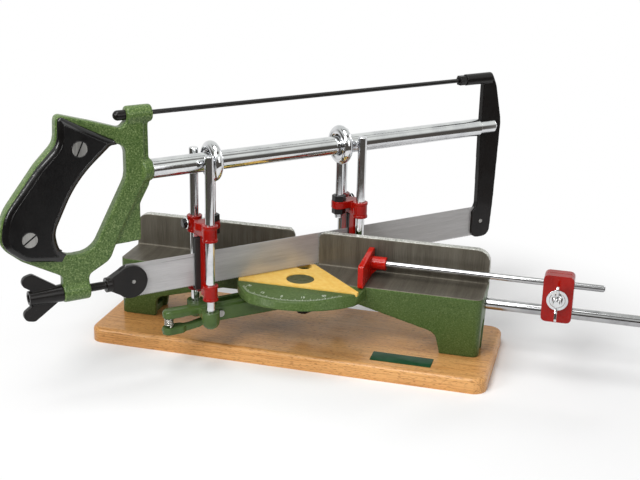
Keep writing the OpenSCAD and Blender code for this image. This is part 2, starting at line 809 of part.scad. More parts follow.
module grip_outline() {
    difference() {
        polygon(rounded([high(-114, 80.5, 4), high(-116.5, 46.5, 25), high(-141.5, 21.5, 80),
            high(-184, -33, 60),
            low(-191, 73.5, 25), low(-165, 52, 30), low(-104, 40.5, 5), low(-99, 47, 4), low(-108, 60),
            high(-70, 10), high(-48, 31), high(-42, 37, 3), high(-46, 44, 3)]));
        translate([grip_lap, 0]) handle_opening();
    }
}

module grip(side) {
    crown_u = (grip_screw_u[0] + grip_screw_u[1]) / 2;
    crown_z = (grip_screw_z[0] + grip_screw_z[1]) / 2;
    lean = atan2(grip_screw_u[0] - grip_screw_u[1], grip_screw_z[0] - grip_screw_z[1]);
    difference() {
        intersection() {
            across(grip_t, side * (handle_t + grip_t) / 2) grip_outline();
            translate([side * (grip_face - grip_crown_r), crown_u, crown_z]) rotate([-lean, 0, 0])
                cylinder(r = grip_crown_r, h = 4 * grip_crown_r, center = true, $fn = 360);
        }
        for (i = [0, 1]) {
            crosswise(-grip_face, grip_face, screw_r, grip_screw_u[i], grip_screw_z[i]);
            translate([side * (grip_face - 1), 0, 0])
                crosswise(-2, 2, grip_screw_r + 0.2, grip_screw_u[i], grip_screw_z[i]);
        }
    }
}

module grip_near() { color("black") in_saw() grip(1); }
module grip_far() { color("black") in_saw() grip(-1); }

module grip_screws() {
    head_x = grip_face - 3;
    color("silver") in_saw() for (i = [0, 1]) difference() {
        union() {
            crosswise(-head_x, head_x, screw_r, grip_screw_u[i], grip_screw_z[i]);
            for (s = [-1, 1]) translate([s * (head_x + 1.6), 0, 0])
                crosswise(-1.6, 1.6, grip_screw_r, grip_screw_u[i], grip_screw_z[i]);
        }
        for (s = [-1, 1]) translate([s * (head_x + 3.2), grip_screw_u[i], grip_screw_z[i]])
            rotate([-25 - 30 * i, 0, 0]) cube([3, 2, 3 * grip_screw_r], center = true);
    }
}

// Saw frame
module frame_tube() {
    color("gainsboro") in_saw() difference() {
        along(tube_u, bow_u, tube_r, tube_z);
        along(tube_u - 1, bow_u + 1, tube_r - tube_wall, tube_z);
    }
}

module tube_plug() {
    color("dimgray") in_saw() difference() {
        union() {
            along(bow_u - 24, bow_u, tube_r - tube_wall, tube_z);
            along(bow_u, bow_u + 27, plug_r, tube_z);
            along(bow_u + 27, bow_u + 31, plug_r, tube_z, r2 = plug_r - 3);
        }
        translate([-bow_t / 2 - face_gap, bow_u + 3.8, tube_z - 20]) cube([bow_t + 2 * face_gap, 60, 40]);
    }
}

function bow(du, z, r = 0) = [bow_u + du, z, r];

module bow_bar() {
    polygon(rounded([bow(4, rod_z + 6, 6), bow(4, tube_z - 20, 60), bow(6.5, axis_z + 24, 20),
        bow(-1.5, axis_z + 16, 2), bow(-1.5, blade_z - 2, 12), bow(31.5, blade_z - 2, 12),
        bow(35, axis_z + 30, 60), bow(39, tube_z + 8, 60), bow(27, rod_z - 11, 40),
        bow(18, rod_z + 8, 8)]));
}

module bow_end() {
    color("#2a2624") in_saw() difference() {
        union() {
            across(bow_t) bow_bar();
            along(bow_u - 27, bow_u + 18, 8, rod_z);
        }
        along(bow_u - 28, bow_u - 8, rod_r, rod_z);
        translate([-blade_t / 2 - run_fit, bow_u - 3, blade_z - 9])
            cube([blade_t + 2 * run_fit, 28, blade_w + 9]);
        crosswise(-20, 20, 3, pin_rear_u, axis_z);
    }
}

module tension_rod() {
    color("#2a2624") in_saw() along(top_boss_u[0] - 9.5, bow_u - 9, rod_r - 0.02, rod_z);
}

module rod_cap_nut() {
    nut_r = 2 * rod_r + 0.3;
    color("#2a2624") in_saw() difference() {
        union() {
            along(top_boss_u[0] - 9, top_boss_u[0], nut_r, rod_z);
            translate([0, top_boss_u[0] - 9, rod_z]) sphere(nut_r);
        }
        along(top_boss_u[0] - 10, top_boss_u[0] + 1, rod_r, rod_z);
    }
}

module rod_lock_nut() {
    color("#2a2624") in_saw() difference() {
        translate([0, bow_u - 38, rod_z]) rotate([-90, 0, 0]) cylinder(r = 7.5, h = 10.8, $fn = 6);
        along(bow_u - 39, bow_u - 26, rod_r, rod_z);
    }
}

// Blade
module blade_outline() {
    teeth = floor((blade_u1 - blade_u0 - 8) / tooth_pitch);
    first = blade_u0 + 4;
    polygon(concat(
        [[blade_u1, axis_z - 6], [blade_u1, axis_z + 6], [blade_u1 - 8, blade_z + blade_w],
            [blade_u0 + 8, blade_z + blade_w], [blade_u0, axis_z + 6], [blade_u0, axis_z - 6]],
        [for (i = [0:teeth - 1], p = [[0, tooth_depth], [0.25, 0]])
            [first + (i + p[0]) * tooth_pitch, blade_z + p[1]]],
        [[first + teeth * tooth_pitch, blade_z + tooth_depth]]));
}

module saw_blade() {
    color("lightgray") in_saw() difference() {
        across(blade_t) blade_outline();
        crosswise(-2, 2, 2.5, pin_front_u, axis_z);
        crosswise(-2, 2, 3, pin_rear_u, axis_z);
    }
}

module blade_holder() {
    neck_u = holder_u - 33;
    color("#2a2624") in_saw() difference() {
        union() {
            crosswise(-holder_t / 2, holder_t / 2, holder_r, holder_u, axis_z);
            across(holder_t) polygon(rounded([[neck_u, axis_z - 6, 0], [neck_u + 4, axis_z - 7, 0],
                [holder_u - 6, axis_z - holder_r + 1, 0], [holder_u, axis_z, 0],
                [holder_u - 10, axis_z + holder_r - 3, 0],
                [neck_u + 6, axis_z + 9, 4], [neck_u, axis_z + 6, 0]]));
            along(neck_u, neck_u + 8, 9.5, axis_z);
            along(stem_end_u, neck_u + 2, tension_r, axis_z);
        }
        translate([-blade_t / 2 - run_fit, blade_u0 - 1, blade_z - 2])
            cube([blade_t + 2 * run_fit, 60, blade_w + 4]);
        crosswise(-20, 20, 2.5, pin_front_u, axis_z);
    }
}

module blade_pins() {
    color("gray") in_saw() {
        crosswise(-holder_t / 2, holder_t / 2, 2.48, pin_front_u, axis_z);
        crosswise(-bow_t / 2, bow_t / 2, 2.98, pin_rear_u, axis_z);
    }
}

module wing(hub_u, z) {
    polygon(rounded([[hub_u - 5, z + 4, 0], [hub_u - 7, z + 11, 3], [hub_u - 36, z + 31, 6],
        [hub_u - 50, z + 28, 8], [hub_u - 49, z + 17, 7], [hub_u - 30, z + 4, 0]]));
}

module wing_nut() {
    nut_u = boss_rear_u - face_gap;
    color("#2a2624") in_saw() difference() {
        union() {
            along(nut_u - 42, nut_u, 9, axis_z, r2 = 11);
            across(7) wing(nut_u, axis_z);
            translate([0, 0, 2 * axis_z]) mirror([0, 0, 1]) across(7) wing(nut_u, axis_z);
        }
        along(nut_u - 43, nut_u + 1, tension_r + run_fit, axis_z);
    }
}

// Length stop
module stop_rail() {
    color("gainsboro") difference() {
        rail_bar(half_l - 40, half_l + rail_l, rail_r - 0.02, rail_y, rail_z);
        translate([half_l + rail_l - 1.5, rail_y, rail_z]) rotate([0, 90, 0]) rotate_extrude()
            polygon([[rail_r - 1.5, 1.51], [rail_r + 1, 1.51], [rail_r + 1, -1]]);
    }
}

module rail_screw() {
    color("dimgray") difference() {
        upright(half_l - 24, rail_y, rail_z - rail_r - 14, rail_z - rail_r, screw_r + 0.98);
        translate([half_l - 24 - screw_r - 2, rail_y - 0.7, rail_z - rail_r - 15])
            cube([2 * screw_r + 4, 1.4, 3]);
    }
}

module clamp_outline() {
    polygon(rounded([[clamp_x0, clamp_low, 6], [clamp_x0 + clamp_w, clamp_low, 6],
        [clamp_x0 + clamp_w, clamp_high, 6], [clamp_x0, clamp_high, 6]]));
}

module clamp_jaw(y0, y1) {
    color("firebrick") difference() {
        deep(y0, y1) clamp_outline();
        rail_bar(clamp_x0 - 1, clamp_x0 + clamp_w + 1, rail_r + run_fit, rail_y, rail_z);
        rail_bar(clamp_x0 - 1, clamp_x0 + clamp_w + 1, stop_rod_r + run_fit, rail_y, stop_z);
        translate([clamp_mid, y0 - 1, bolt_z])
            rotate([-90, 0, 0]) cylinder(r = bolt_r + run_fit, h = y1 - y0 + 2);
    }
}

module clamp_front_jaw() { clamp_jaw(rail_y - clamp_t / 2, rail_y - 0.4); }
module clamp_rear_jaw() { clamp_jaw(rail_y + 0.4, rail_y + clamp_t / 2); }

clamp_face = rail_y - clamp_t / 2;
washer_t = 2;

module clamp_bolt() {
    color("silver") union() {
        translate([clamp_mid, clamp_face - 17, bolt_z])
            rotate([-90, 0, 0]) cylinder(r = bolt_r, h = clamp_t + 17);
        translate([clamp_mid, rail_y + clamp_t / 2, bolt_z])
            rotate([-90, 0, 0]) cylinder(r = 7.5, h = 5, $fn = 6);
    }
}

module clamp_washer() {
    color("silver") translate([clamp_mid, clamp_face - washer_t, bolt_z]) rotate([-90, 0, 0]) difference() {
        cylinder(r = 14, h = washer_t);
        translate([0, 0, -1]) cylinder(r = bolt_r + run_fit, h = washer_t + 2);
    }
}

module clamp_wing_nut() {
    nut_y = clamp_face - washer_t - face_gap;
    color("silver") difference() {
        union() {
            translate([clamp_mid, nut_y - 10, bolt_z])
                rotate([-90, 0, 0]) cylinder(r1 = 6, r2 = 7.5, h = 10);
            for (s = [0, 180]) translate([clamp_mid, 0, bolt_z]) rotate([0, s, 0])
                rotate([90, 0, 90]) translate([0, 0, -1.75]) linear_extrude(3.5)
                    polygon(rounded([[nut_y - 1, 4, 0], [nut_y - 2, 9, 2], [nut_y - 9, 24, 4],
                        [nut_y - 18, 24, 4], [nut_y - 15, 12, 4], [nut_y - 9, 4, 0]]));
        }
        translate([clamp_mid, nut_y - 20, bolt_z])
            rotate([-90, 0, 0]) cylinder(r = bolt_r + run_fit, h = 30);
    }
}

plate_x = 89;
plate_t = 7.5;

module stop_rod() {
    color("gainsboro") translate([plate_x + 2, rail_y, stop_z]) rotate([0, 90, 0]) rotate_extrude()
        polygon([[0, 0], [stop_rod_r, 0], [stop_rod_r, stop_rod_l - 2],
            [stop_rod_r - 2, stop_rod_l], [0, stop_rod_l]]);
}

module stop_plate() {
    plate_front = fence_y - 1.5 - plate_w;
    plate_low = table_z + 0.3;
    hub_l = 20;
    color("orangered") difference() {
        union() {
            rotate([90, 0, 90]) translate([0, 0, plate_x]) linear_extrude(plate_t)
                polygon(rounded([[plate_front, plate_low, 2], [plate_front + plate_w, plate_low, 2],
                    [plate_front + plate_w, stop_z + 17, 3], [plate_front, stop_z + 12, 3]]));
            rail_bar(plate_x + plate_t - 1, plate_x + plate_t + hub_l, stop_rod_r + 4.5, rail_y, stop_z);
            deep(rail_y - 3, rail_y + 3) polygon([[plate_x + plate_t - 1, plate_low + 1],
                [plate_x + plate_t - 1, stop_z], [plate_x + plate_t + hub_l - 4, stop_z]]);
        }
        rail_bar(plate_x + 2, plate_x + plate_t + hub_l + 1, stop_rod_r, rail_y, stop_z);
    }
}

base_board();
bed_casting();
bed_screws();
insert_plate();
insert_screw();
pivot_bolt();
pivot_washer();
pivot_nut();
stop_rail();
rail_screw();
swing_arm();
post_front_near();
post_front_far();
post_rear_near();
post_rear_far();
lever_pin();
index_lever();
lever_spring();
front_guide();
front_liners();
front_eye();
front_eye_nuts();
front_lock_screw();
rear_guide();
rear_liners();
rear_eye();
rear_eye_nuts();
rear_lock_screw();
handle_casting();
grip_near();
grip_far();
grip_screws();
frame_tube();
tube_plug();
bow_end();
tension_rod();
rod_cap_nut();
rod_lock_nut();
saw_blade();
blade_holder();
blade_pins();
wing_nut();
clamp_front_jaw();
clamp_rear_jaw();
clamp_bolt();
clamp_washer();
clamp_wing_nut();
stop_rod();
stop_plate();
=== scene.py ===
"""Looks of a hand mitre saw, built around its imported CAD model.

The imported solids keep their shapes. This script gives each of them a finish and soft edges, and adds
what the solids leave out: the mitre scale, the label plate, the moulded grips, threads, knurls and
the smooth lever spring. Class fields hold sizes in millimetres, and meshes are made in metres.
"""

import logging
import math
from dataclasses import dataclass, field
from enum import Enum
from functools import cache
from typing import Any, Iterable, Optional, Sequence, Union

import bmesh
import bpy
from mathutils import Matrix, Vector
from mathutils.kdtree import KDTree


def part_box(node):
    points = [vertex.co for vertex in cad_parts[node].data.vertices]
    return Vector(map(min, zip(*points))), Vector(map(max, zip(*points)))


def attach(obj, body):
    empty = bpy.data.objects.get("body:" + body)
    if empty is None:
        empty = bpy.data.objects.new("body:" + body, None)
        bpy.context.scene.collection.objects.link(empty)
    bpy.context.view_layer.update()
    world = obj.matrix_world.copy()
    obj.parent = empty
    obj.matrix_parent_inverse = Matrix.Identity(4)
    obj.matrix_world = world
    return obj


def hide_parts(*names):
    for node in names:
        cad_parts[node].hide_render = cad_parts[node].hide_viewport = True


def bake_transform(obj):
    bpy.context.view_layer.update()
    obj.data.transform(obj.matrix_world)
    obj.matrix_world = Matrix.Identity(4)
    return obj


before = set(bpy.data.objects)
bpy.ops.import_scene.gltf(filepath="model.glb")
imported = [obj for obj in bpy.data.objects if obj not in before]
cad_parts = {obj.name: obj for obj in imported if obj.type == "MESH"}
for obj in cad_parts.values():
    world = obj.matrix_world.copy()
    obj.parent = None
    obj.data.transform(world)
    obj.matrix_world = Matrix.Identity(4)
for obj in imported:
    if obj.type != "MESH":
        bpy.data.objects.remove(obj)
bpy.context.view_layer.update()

LOG = logging.getLogger("mitre_saw")
MM = 0.001
JOIN = 0.002 * MM
SAME = 0.001 * MM
CUT = 0.0001 * MM
QUARTER = math.pi / 2
SAW_TURN = Matrix.Rotation(math.radians(-45.0), 4, "Z")
SAW_ALONG = (math.sqrt(0.5), math.sqrt(0.5), 0.0)
SAW_ACROSS = (SAW_ALONG[0], -SAW_ALONG[1], 0.0)
UPWARD = (0.0, 0.0, 1.0)
WHITE = (1.0, 1.0, 1.0, 1.0)
FLOAT, COLOUR, VECTOR = "NodeSocketFloat", "NodeSocketColor", "NodeSocketVector"

Tone = tuple[float, float, float, float]
Triple = tuple[float, float, float]
Sockets = dict[Any, Any]
Shape = bmesh.types.BMesh
Thing = bpy.types.Object


def tone(*steps: int) -> Tone:
    """Turns red, green and blue steps of 0 to 255, as on a screen, into an opaque linear colour."""
    shares = (step / 255.0 for step in steps)
    return (*(s / 12.92 if s <= 0.04045 else ((s + 0.055) / 1.055) ** 2.4 for s in shares), 1.0)


def saw_point(across: float, along: float, height: float) -> Vector:
    """Places a point of the saw, given in millimetres for a square cut, at the left mitre in metres."""
    return SAW_TURN @ (Vector((across, along, height)) * MM)


def facing(axis: Vector) -> Matrix:
    """Gives the turn that takes Z to an axis."""
    return Vector(UPWARD).rotation_difference(axis).to_matrix().to_4x4()


def around(points: Sequence[Vector]) -> Iterable[tuple[Vector, Vector, Vector]]:
    """Gives each point of a closed line between the one before it and the one after it."""
    return zip([points[-1], *points[:-1]], points, [*points[1:], points[0]])


def show(name: str, data: bpy.types.ID) -> Thing:
    """Puts an object into the scene.

    Args:
        name: Name of the object.
        data: Its mesh, curve, lamp or camera.

    Returns:
        The object.
    """
    thing = bpy.data.objects.new(name, data)
    bpy.context.scene.collection.objects.link(thing)
    return thing


def mesh_of(shape: Shape, smooth: float = 35.0) -> bpy.types.Mesh:
    """Turns a shape into a mesh.

    Args:
        shape: The shape in place, which is freed.
        smooth: Largest angle in degrees that is shaded as a curve.

    Returns:
        The mesh.
    """
    bmesh.ops.recalc_face_normals(shape, faces=shape.faces)
    for face in shape.faces:
        face.smooth = True
    for edge in shape.edges:
        edge.smooth = len(edge.link_faces) == 2 and edge.calc_face_angle(0.0) < math.radians(smooth)
    mesh = bpy.data.meshes.new("shape")
    shape.to_mesh(mesh)
    shape.free()
    return mesh


def live(node: Thing, name: str, kind: str, **settings: Any) -> None:
    """Adds a live modifier.

    Args:
        node: The object that it works on.
        name: Name of the modifier.
        kind: Blender's name of its type.
        **settings: Its options.
    """
    modifier = node.modifiers.new(name, kind)
    for key, value in settings.items():
        setattr(modifier, key, value)


class Signal:
    """An output of a shader node, which sums, blends and patterns are made from."""

    def __init__(self, sheet: "Sheet", socket: bpy.types.NodeSocket) -> None:
        """Keeps the output and the sheet that it is on."""
        self.sheet = sheet
        self.socket = socket

    def calc(self, operation: str, other: Any = 0.0) -> "Signal":
        """Joins this with another number by one step of arithmetic."""
        return self.sheet.get("Math", 0, {0: self, 1: other}, operation=operation)

    def __add__(self, other: Any) -> "Signal":
        """Adds a number."""
        return self.calc("ADD", other)

    def __sub__(self, other: Any) -> "Signal":
        """Takes a number away."""
        return self.calc("SUBTRACT", other)

    def __mul__(self, other: Any) -> "Signal":
        """Multiplies by a number."""
        return self.calc("MULTIPLY", other)

    def rest(self) -> "Signal":
        """Gives what a share lacks to 1."""
        return self.sheet.get("Math", 0, {0: 1.0, 1: self}, operation="SUBTRACT")

    def step(self, low: float, high: float) -> "Signal":
        """Rises smoothly from 0 at the low value to 1 at the high one."""
        limits = {"Value": self, "From Min": low, "From Max": high}
        return self.sheet.get("MapRange", "Result", limits, interpolation_type="SMOOTHSTEP")

    def spread(self, low: Any, high: Any) -> "Signal":
        """Spreads a share from 0 to 1 over a range of values."""
        return self.sheet.get("MapRange", "Result", {"Value": self, "To Min": low, "To Max": high})

    def mix(self, first: Any, second: Any) -> "Signal":
        """Blends two colours, with this as the share of the second."""
        return self.sheet.get("Mix", 2, {0: self, 6: first, 7: second}, data_type="RGBA")

    def bump(self, depth: float, strength: float) -> "Signal":
        """Turns a height into a normal, with the depth of a height of 1 in millimetres."""
        return self.sheet.get("Bump", "Normal", {
            "Height": self, "Distance": depth * MM, "Strength": strength})

    def noise(self, scale: Any, detail: float = 2.0, rough: float = 0.5, warp: float = 0.0) -> "Signal":
        """Reads a cloudy pattern at these coordinates, with its clouds in a metre as the scale."""
        return self.sheet.get("TexNoise", 0, {
            "Vector": self, "Scale": scale, "Detail": detail, "Roughness": rough, "Distortion": warp})

    def stretched(self, *scale: float) -> "Signal":
        """Scales coordinates along X, Y and Z."""
        return self.sheet.get("VectorMath", "Vector", {0: self, 1: scale}, operation="MULTIPLY")

    def towards(self, axis: Any) -> "Signal":
        """Measures coordinates along an axis."""
        return self.sheet.get("VectorMath", "Value", {0: self, 1: axis}, operation="DOT_PRODUCT")

    def parts(self) -> dict[str, "Signal"]:
        """Splits coordinates into X, Y and Z."""
        return self.sheet.outputs(self.sheet.add("SeparateXYZ", {0: self}))

    def effect(self, name: str, **inputs: Any) -> dict[str, "Signal"]:
        """Places a shared effect at these coordinates and gives its outputs by name."""
        group = bpy.data.node_groups[name]
        return self.sheet.outputs(self.sheet.add("Group", {"Vector": self, **inputs}, node_tree=group))


class Sheet:
    """Lays out the nodes of one shader tree."""

    def __init__(self, tree: bpy.types.NodeTree) -> None:
        """Keeps the tree that the nodes go into and empties it."""
        self.tree = tree
        self.tree.nodes.clear()

    def add(self, kind: str, inputs: Optional[Sockets] = None, **settings: Any) -> bpy.types.Node:
        """Adds a node and fills its sockets.

        Args:
            kind: Blender's name of the shader node.
            inputs: Name or number of a socket, with a plain value or the signal that feeds it.
            **settings: Options of the node itself.

        Returns:
            The new node.
        """
        node = self.tree.nodes.new(f"ShaderNode{kind}")
        for name, value in settings.items():
            setattr(node, name, value)
        for key, value in (inputs or {}).items():
            if isinstance(value, Signal):
                self.tree.links.new(value.socket, node.inputs[key])
            else:
                node.inputs[key].default_value = value
        return node

    def get(self, kind: str, output: Any, inputs: Optional[Sockets] = None, **settings: Any) -> Signal:
        """Adds a node and gives the output of that name or number."""
        return Signal(self, self.add(kind, inputs, **settings).outputs[output])

    def outputs(self, node: bpy.types.Node) -> dict[str, Signal]:
        """Gives a node's outputs by name."""
        return {socket.name: Signal(self, socket) for socket in node.outputs}


class Effect(Sheet):
    """A shared surface effect: a shader node group that reads coordinates and some values."""

    def __init__(self, name: str, **kinds: str) -> None:
        """Starts the group.

        Args:
            name: Name of the group.
            **kinds: Type of each input but the coordinates.
        """
        super().__init__(bpy.data.node_groups.new(name, "ShaderNodeTree"))
        for label, kind in {"Vector": VECTOR, **kinds}.items():
            self.tree.interface.new_socket(name=label, in_out="INPUT", socket_type=kind)
        self.given = self.outputs(self.tree.nodes.new("NodeGroupInput"))
        self.spot = self.given["Vector"]

    def close(self, **results: Signal) -> None:
        """Ends the group.

        Args:
            **results: What each output puts out.
        """
        for label, signal in results.items():
            kind = COLOUR if signal.socket.type == "RGBA" else FLOAT
            self.tree.interface.new_socket(name=label, in_out="OUTPUT", socket_type=kind)
        end = self.tree.nodes.new("NodeGroupOutput")
        for label, signal in results.items():
            self.tree.links.new(signal.socket, end.inputs[label])


def hammered_paint() -> None:
    """Builds the hammered paint: pale speckles that stand up from a darker ground."""
    group = Effect("hammered_paint", Scale=FLOAT, Dark=COLOUR, Mid=COLOUR, Light=COLOUR)
    given = group.given
    cloud = group.spot.noise(given["Scale"], 2.5, 0.6, 0.6)
    cells = group.get("TexVoronoi", "Distance", {
        "Vector": group.spot, "Scale": given["Scale"], "Smoothness": 0.6}, feature="SMOOTH_F1")
    ground = cloud.step(0.36, 0.50).mix(given["Dark"], given["Mid"])
    colour = cloud.step(0.53, 0.68).mix(ground, given["Light"])
    group.close(Color=colour, Height=cloud - cells * 0.45)


def ground_lines() -> None:
    """Builds the fine lines that grinding or brushing leaves, drawn out along one direction."""
    group = Effect("ground_lines", Across=VECTOR, Along=VECTOR, Scale=FLOAT)
    across = group.spot.towards(group.given["Across"])
    along = group.spot.towards(group.given["Along"]) * 0.02
    drawn = group.get("CombineXYZ", 0, {0: across, 1: along})
    scale = group.given["Scale"]
    group.close(Lines=drawn.noise(scale, 4.0, 0.7), Bands=drawn.noise(scale * 0.06))


def uneven_gloss() -> None:
    """Builds the uneven gloss of handled surfaces."""
    group = Effect("uneven_gloss", Smooth=FLOAT, Rough=FLOAT)
    broad = group.spot.noise(45.0, 3.0, 0.6).step(0.35, 0.7)
    cloud = broad * 0.75 + group.spot.noise(900.0, 2.0, 0.6) * 0.25
    group.close(Roughness=cloud.spread(group.given["Smooth"], group.given["Rough"]), Cloud=cloud)


def edge_wear() -> None:
    """Builds the rub marks along outer edges."""
    group = Effect("edge_wear", Radius=FLOAT)
    soft = group.get("Bevel", 0, {"Radius": group.given["Radius"]}, samples=4)
    turn = soft.towards(group.get("NewGeometry", "Normal")).rest().step(0.02, 0.22)
    group.close(Edge=turn * group.spot.noise(260.0, 4.0, 0.65).step(0.46, 0.66))


def moulded_stipple() -> None:
    """Builds a field of small moulded dots."""
    group = Effect("moulded_stipple", Scale=FLOAT)
    dots = group.get("TexVoronoi", "Distance", {
        "Vector": group.spot, "Scale": group.given["Scale"], "Randomness": 0.55})
    group.close(Height=dots.step(0.12, 0.55).rest())


@dataclass(frozen=True)
class Finish:
    """A surface finish that can be made into a material."""

    name: str

    def build(self) -> bpy.types.Material:
        """Makes the material.

        Returns:
            The material with its nodes.
        """
        material = bpy.data.materials.new(self.name)
        material.use_nodes = True
        sheet = Sheet(material.node_tree)
        shader = sheet.get("BsdfPrincipled", "BSDF", self.lay(sheet.get("TexCoord", "Object")))
        sheet.add("OutputMaterial", {"Surface": shader})
        return material

    def lay(self, spot: Signal) -> Sockets:
        """Lays the finish's nodes at a piece's own coordinates; each finish has its own."""
        raise NotImplementedError


@dataclass(frozen=True)
class HammerPaint(Finish):
    """Hammered green paint with worn edges."""

    dark: Tone = tone(58, 84, 38)
    mid: Tone = tone(88, 112, 58)
    light: Tone = tone(136, 154, 100)
    bare: Tone = tone(156, 168, 124)
    shine: float = 0.28
    coat: float = 0.12
    speckles: float = 540.0
    depth: float = 0.35
    edge_r: float = 0.9
    rub: float = 0.40

    def lay(self, spot: Signal) -> Sockets:
        """Speckles the paint and lightens its edges.

        Args:
            spot: The piece's own coordinates.

        Returns:
            What goes into the shader's sockets.
        """
        paint = spot.effect("hammered_paint", Scale=self.speckles, Dark=self.dark, Mid=self.mid,
                            Light=self.light)
        edge = spot.effect("edge_wear", Radius=self.edge_r * MM)["Edge"]
        return {"Base Color": (edge * self.rub).mix(paint["Color"], self.bare),
                "Roughness": spot.effect("uneven_gloss", Smooth=0.26, Rough=0.42)["Roughness"],
                "Normal": paint["Height"].bump(self.depth, 0.5), "Coat Weight": self.coat,
                "Coat Roughness": 0.10, "Specular IOR Level": self.shine}


@dataclass(frozen=True)
class BedPaint(HammerPaint):
    """Hammered paint of the bed, ground bare on the table and on the fences' faces."""

    table_z: float = 114.0
    fence_y: float = 12.5
    iron: Tone = tone(112, 107, 96)
    iron_dark: Tone = tone(80, 75, 66)
    rim: Tone = tone(226, 226, 220)
    rim_dark: Tone = tone(142, 144, 134)

    def lay(self, spot: Signal) -> Sockets:
        """Paints the casting, then grinds the faces that work touches.

        Args:
            spot: The piece's own coordinates.

        Returns:
            What goes into the shader's sockets.
        """
        made = super().lay(spot)
        at = spot.parts()
        normal = spot.sheet.get("NewGeometry", "Normal").parts()
        above = at["Z"].calc("GREATER_THAN", (self.table_z - 0.7) * MM)
        ground = above * at["Y"].calc("LESS_THAN", (self.fence_y + 0.9) * MM)
        upper = at["Z"].calc("GREATER_THAN", (self.table_z + 3.0) * MM)
        behind = at["Y"].calc("GREATER_THAN", (self.fence_y + 0.4) * MM)
        rim = normal["Y"].calc("ABSOLUTE").step(0.70, 0.93).rest() * (upper * behind)
        lines = spot.effect("ground_lines", Across=(1.0, 0.0, 0.0), Along=(0.0, 1.0, 1.0), Scale=1500.0)
        streaks = lines["Lines"] * 0.6 + lines["Bands"] * 0.4
        iron = streaks.step(0.32, 0.66).mix(self.iron_dark, self.iron)
        grit = spot.noise(650.0, 3.0, 0.7).step(0.40, 0.62).mix(self.rim_dark, self.rim)
        return made | {"Base Color": rim.mix(ground.mix(made["Base Color"], iron), grit),
                       "Metallic": (ground * 0.35).calc("MAXIMUM", rim * 0.30),
                       "Roughness": made["Roughness"] + ground * 0.10,
                       "Coat Weight": ground.rest() * self.coat}


@dataclass(frozen=True)
class Clouded(Finish):
    """A finish whose colour and gloss are a little uneven."""

    colour: Tone
    deep: Tone
    smooth: float
    rough: float

    def lay(self, spot: Signal) -> Sockets:
        """Clouds the colour and the gloss at a piece's own coordinates."""
        gloss = spot.effect("uneven_gloss", Smooth=self.smooth, Rough=self.rough)
        return {"Base Color": gloss["Cloud"].mix(self.colour, self.deep), "Roughness": gloss["Roughness"]}


@dataclass(frozen=True)
class GlossPaint(Clouded):
    """Smooth enamel with a faint orange peel and rubbed edges."""

    colour: Tone = tone(160, 17, 5)
    deep: Tone = tone(136, 10, 3)
    smooth: float = 0.16
    rough: float = 0.30
    rubbed: Tone = tone(200, 84, 62)
    rub: float = 0.25
    edge_r: float = 0.7
    peel: float = 0.10
    shine: float = 0.20

    def lay(self, spot: Signal) -> Sockets:
        """Clouds the enamel slightly and lightens its edges.

        Args:
            spot: The piece's own coordinates.

        Returns:
            What goes into the shader's sockets.
        """
        made = super().lay(spot)
        edge = spot.effect("edge_wear", Radius=self.edge_r * MM)["Edge"]
        return made | {"Base Color": (edge * self.rub).mix(made["Base Color"], self.rubbed),
                       "Normal": spot.noise(380.0).bump(self.peel, 0.4), "Coat Weight": 0.12,
                       "Coat Roughness": 0.05, "Specular IOR Level": self.shine}


@dataclass(frozen=True)
class Plating(Clouded):
    """Polished plating with faint wipe marks."""

    colour: Tone = tone(222, 223, 224)
    deep: Tone = tone(198, 199, 202)
    smooth: float = 0.05
    rough: float = 0.16

    def lay(self, spot: Signal) -> Sockets:
        """Clouds the polish slightly at a piece's own coordinates."""
        return super().lay(spot) | {"Metallic": 1.0}


@dataclass(frozen=True)
class GripPlastic(Clouded):
    """Moulded black plastic, plain or stippled."""

    colour: Tone = tone(8, 7, 8)
    deep: Tone = tone(17, 16, 16)
    smooth: float = 0.16
    rough: float = 0.26
    dots: float = 0.0
    shine: float = 0.50

    def lay(self, spot: Signal) -> Sockets:
        """Clouds the gloss and raises the dots where there are any.

        Args:
            spot: The piece's own coordinates.

        Returns:
            What goes into the shader's sockets.
        """
        if self.dots:
            relief = spot.effect("moulded_stipple", Scale=self.dots)["Height"].bump(0.18, 0.7)
        else:
            relief = spot.noise(500.0).bump(0.05, 0.3)
        return super().lay(spot) | {"Normal": relief, "Specular IOR Level": self.shine}


@dataclass(frozen=True)
class BrushedSteel(Finish):
    """Steel ground in one direction."""

    along: Triple = SAW_ALONG
    across: Triple = UPWARD
    colour: Tone = tone(194, 193, 193)
    dark: Tone = tone(164, 162, 162)
    fineness: float = 1800.0
    smooth: float = 0.22
    rough: float = 0.40
    metal: float = 0.28

    def lay(self, spot: Signal) -> Sockets:
        """Draws the grinding lines in colour, gloss and relief.

        Args:
            spot: The piece's own coordinates.

        Returns:
            What goes into the shader's sockets.
        """
        lines = spot.effect("ground_lines", Across=self.across, Along=self.along, Scale=self.fineness)
        share = lines["Lines"] * 0.55 + lines["Bands"] * 0.45
        return {"Base Color": share.step(0.30, 0.66).mix(self.dark, self.colour),
                "Roughness": lines["Bands"].spread(self.smooth, self.rough), "Metallic": self.metal,
                "Normal": lines["Lines"].bump(0.02, 0.5)}


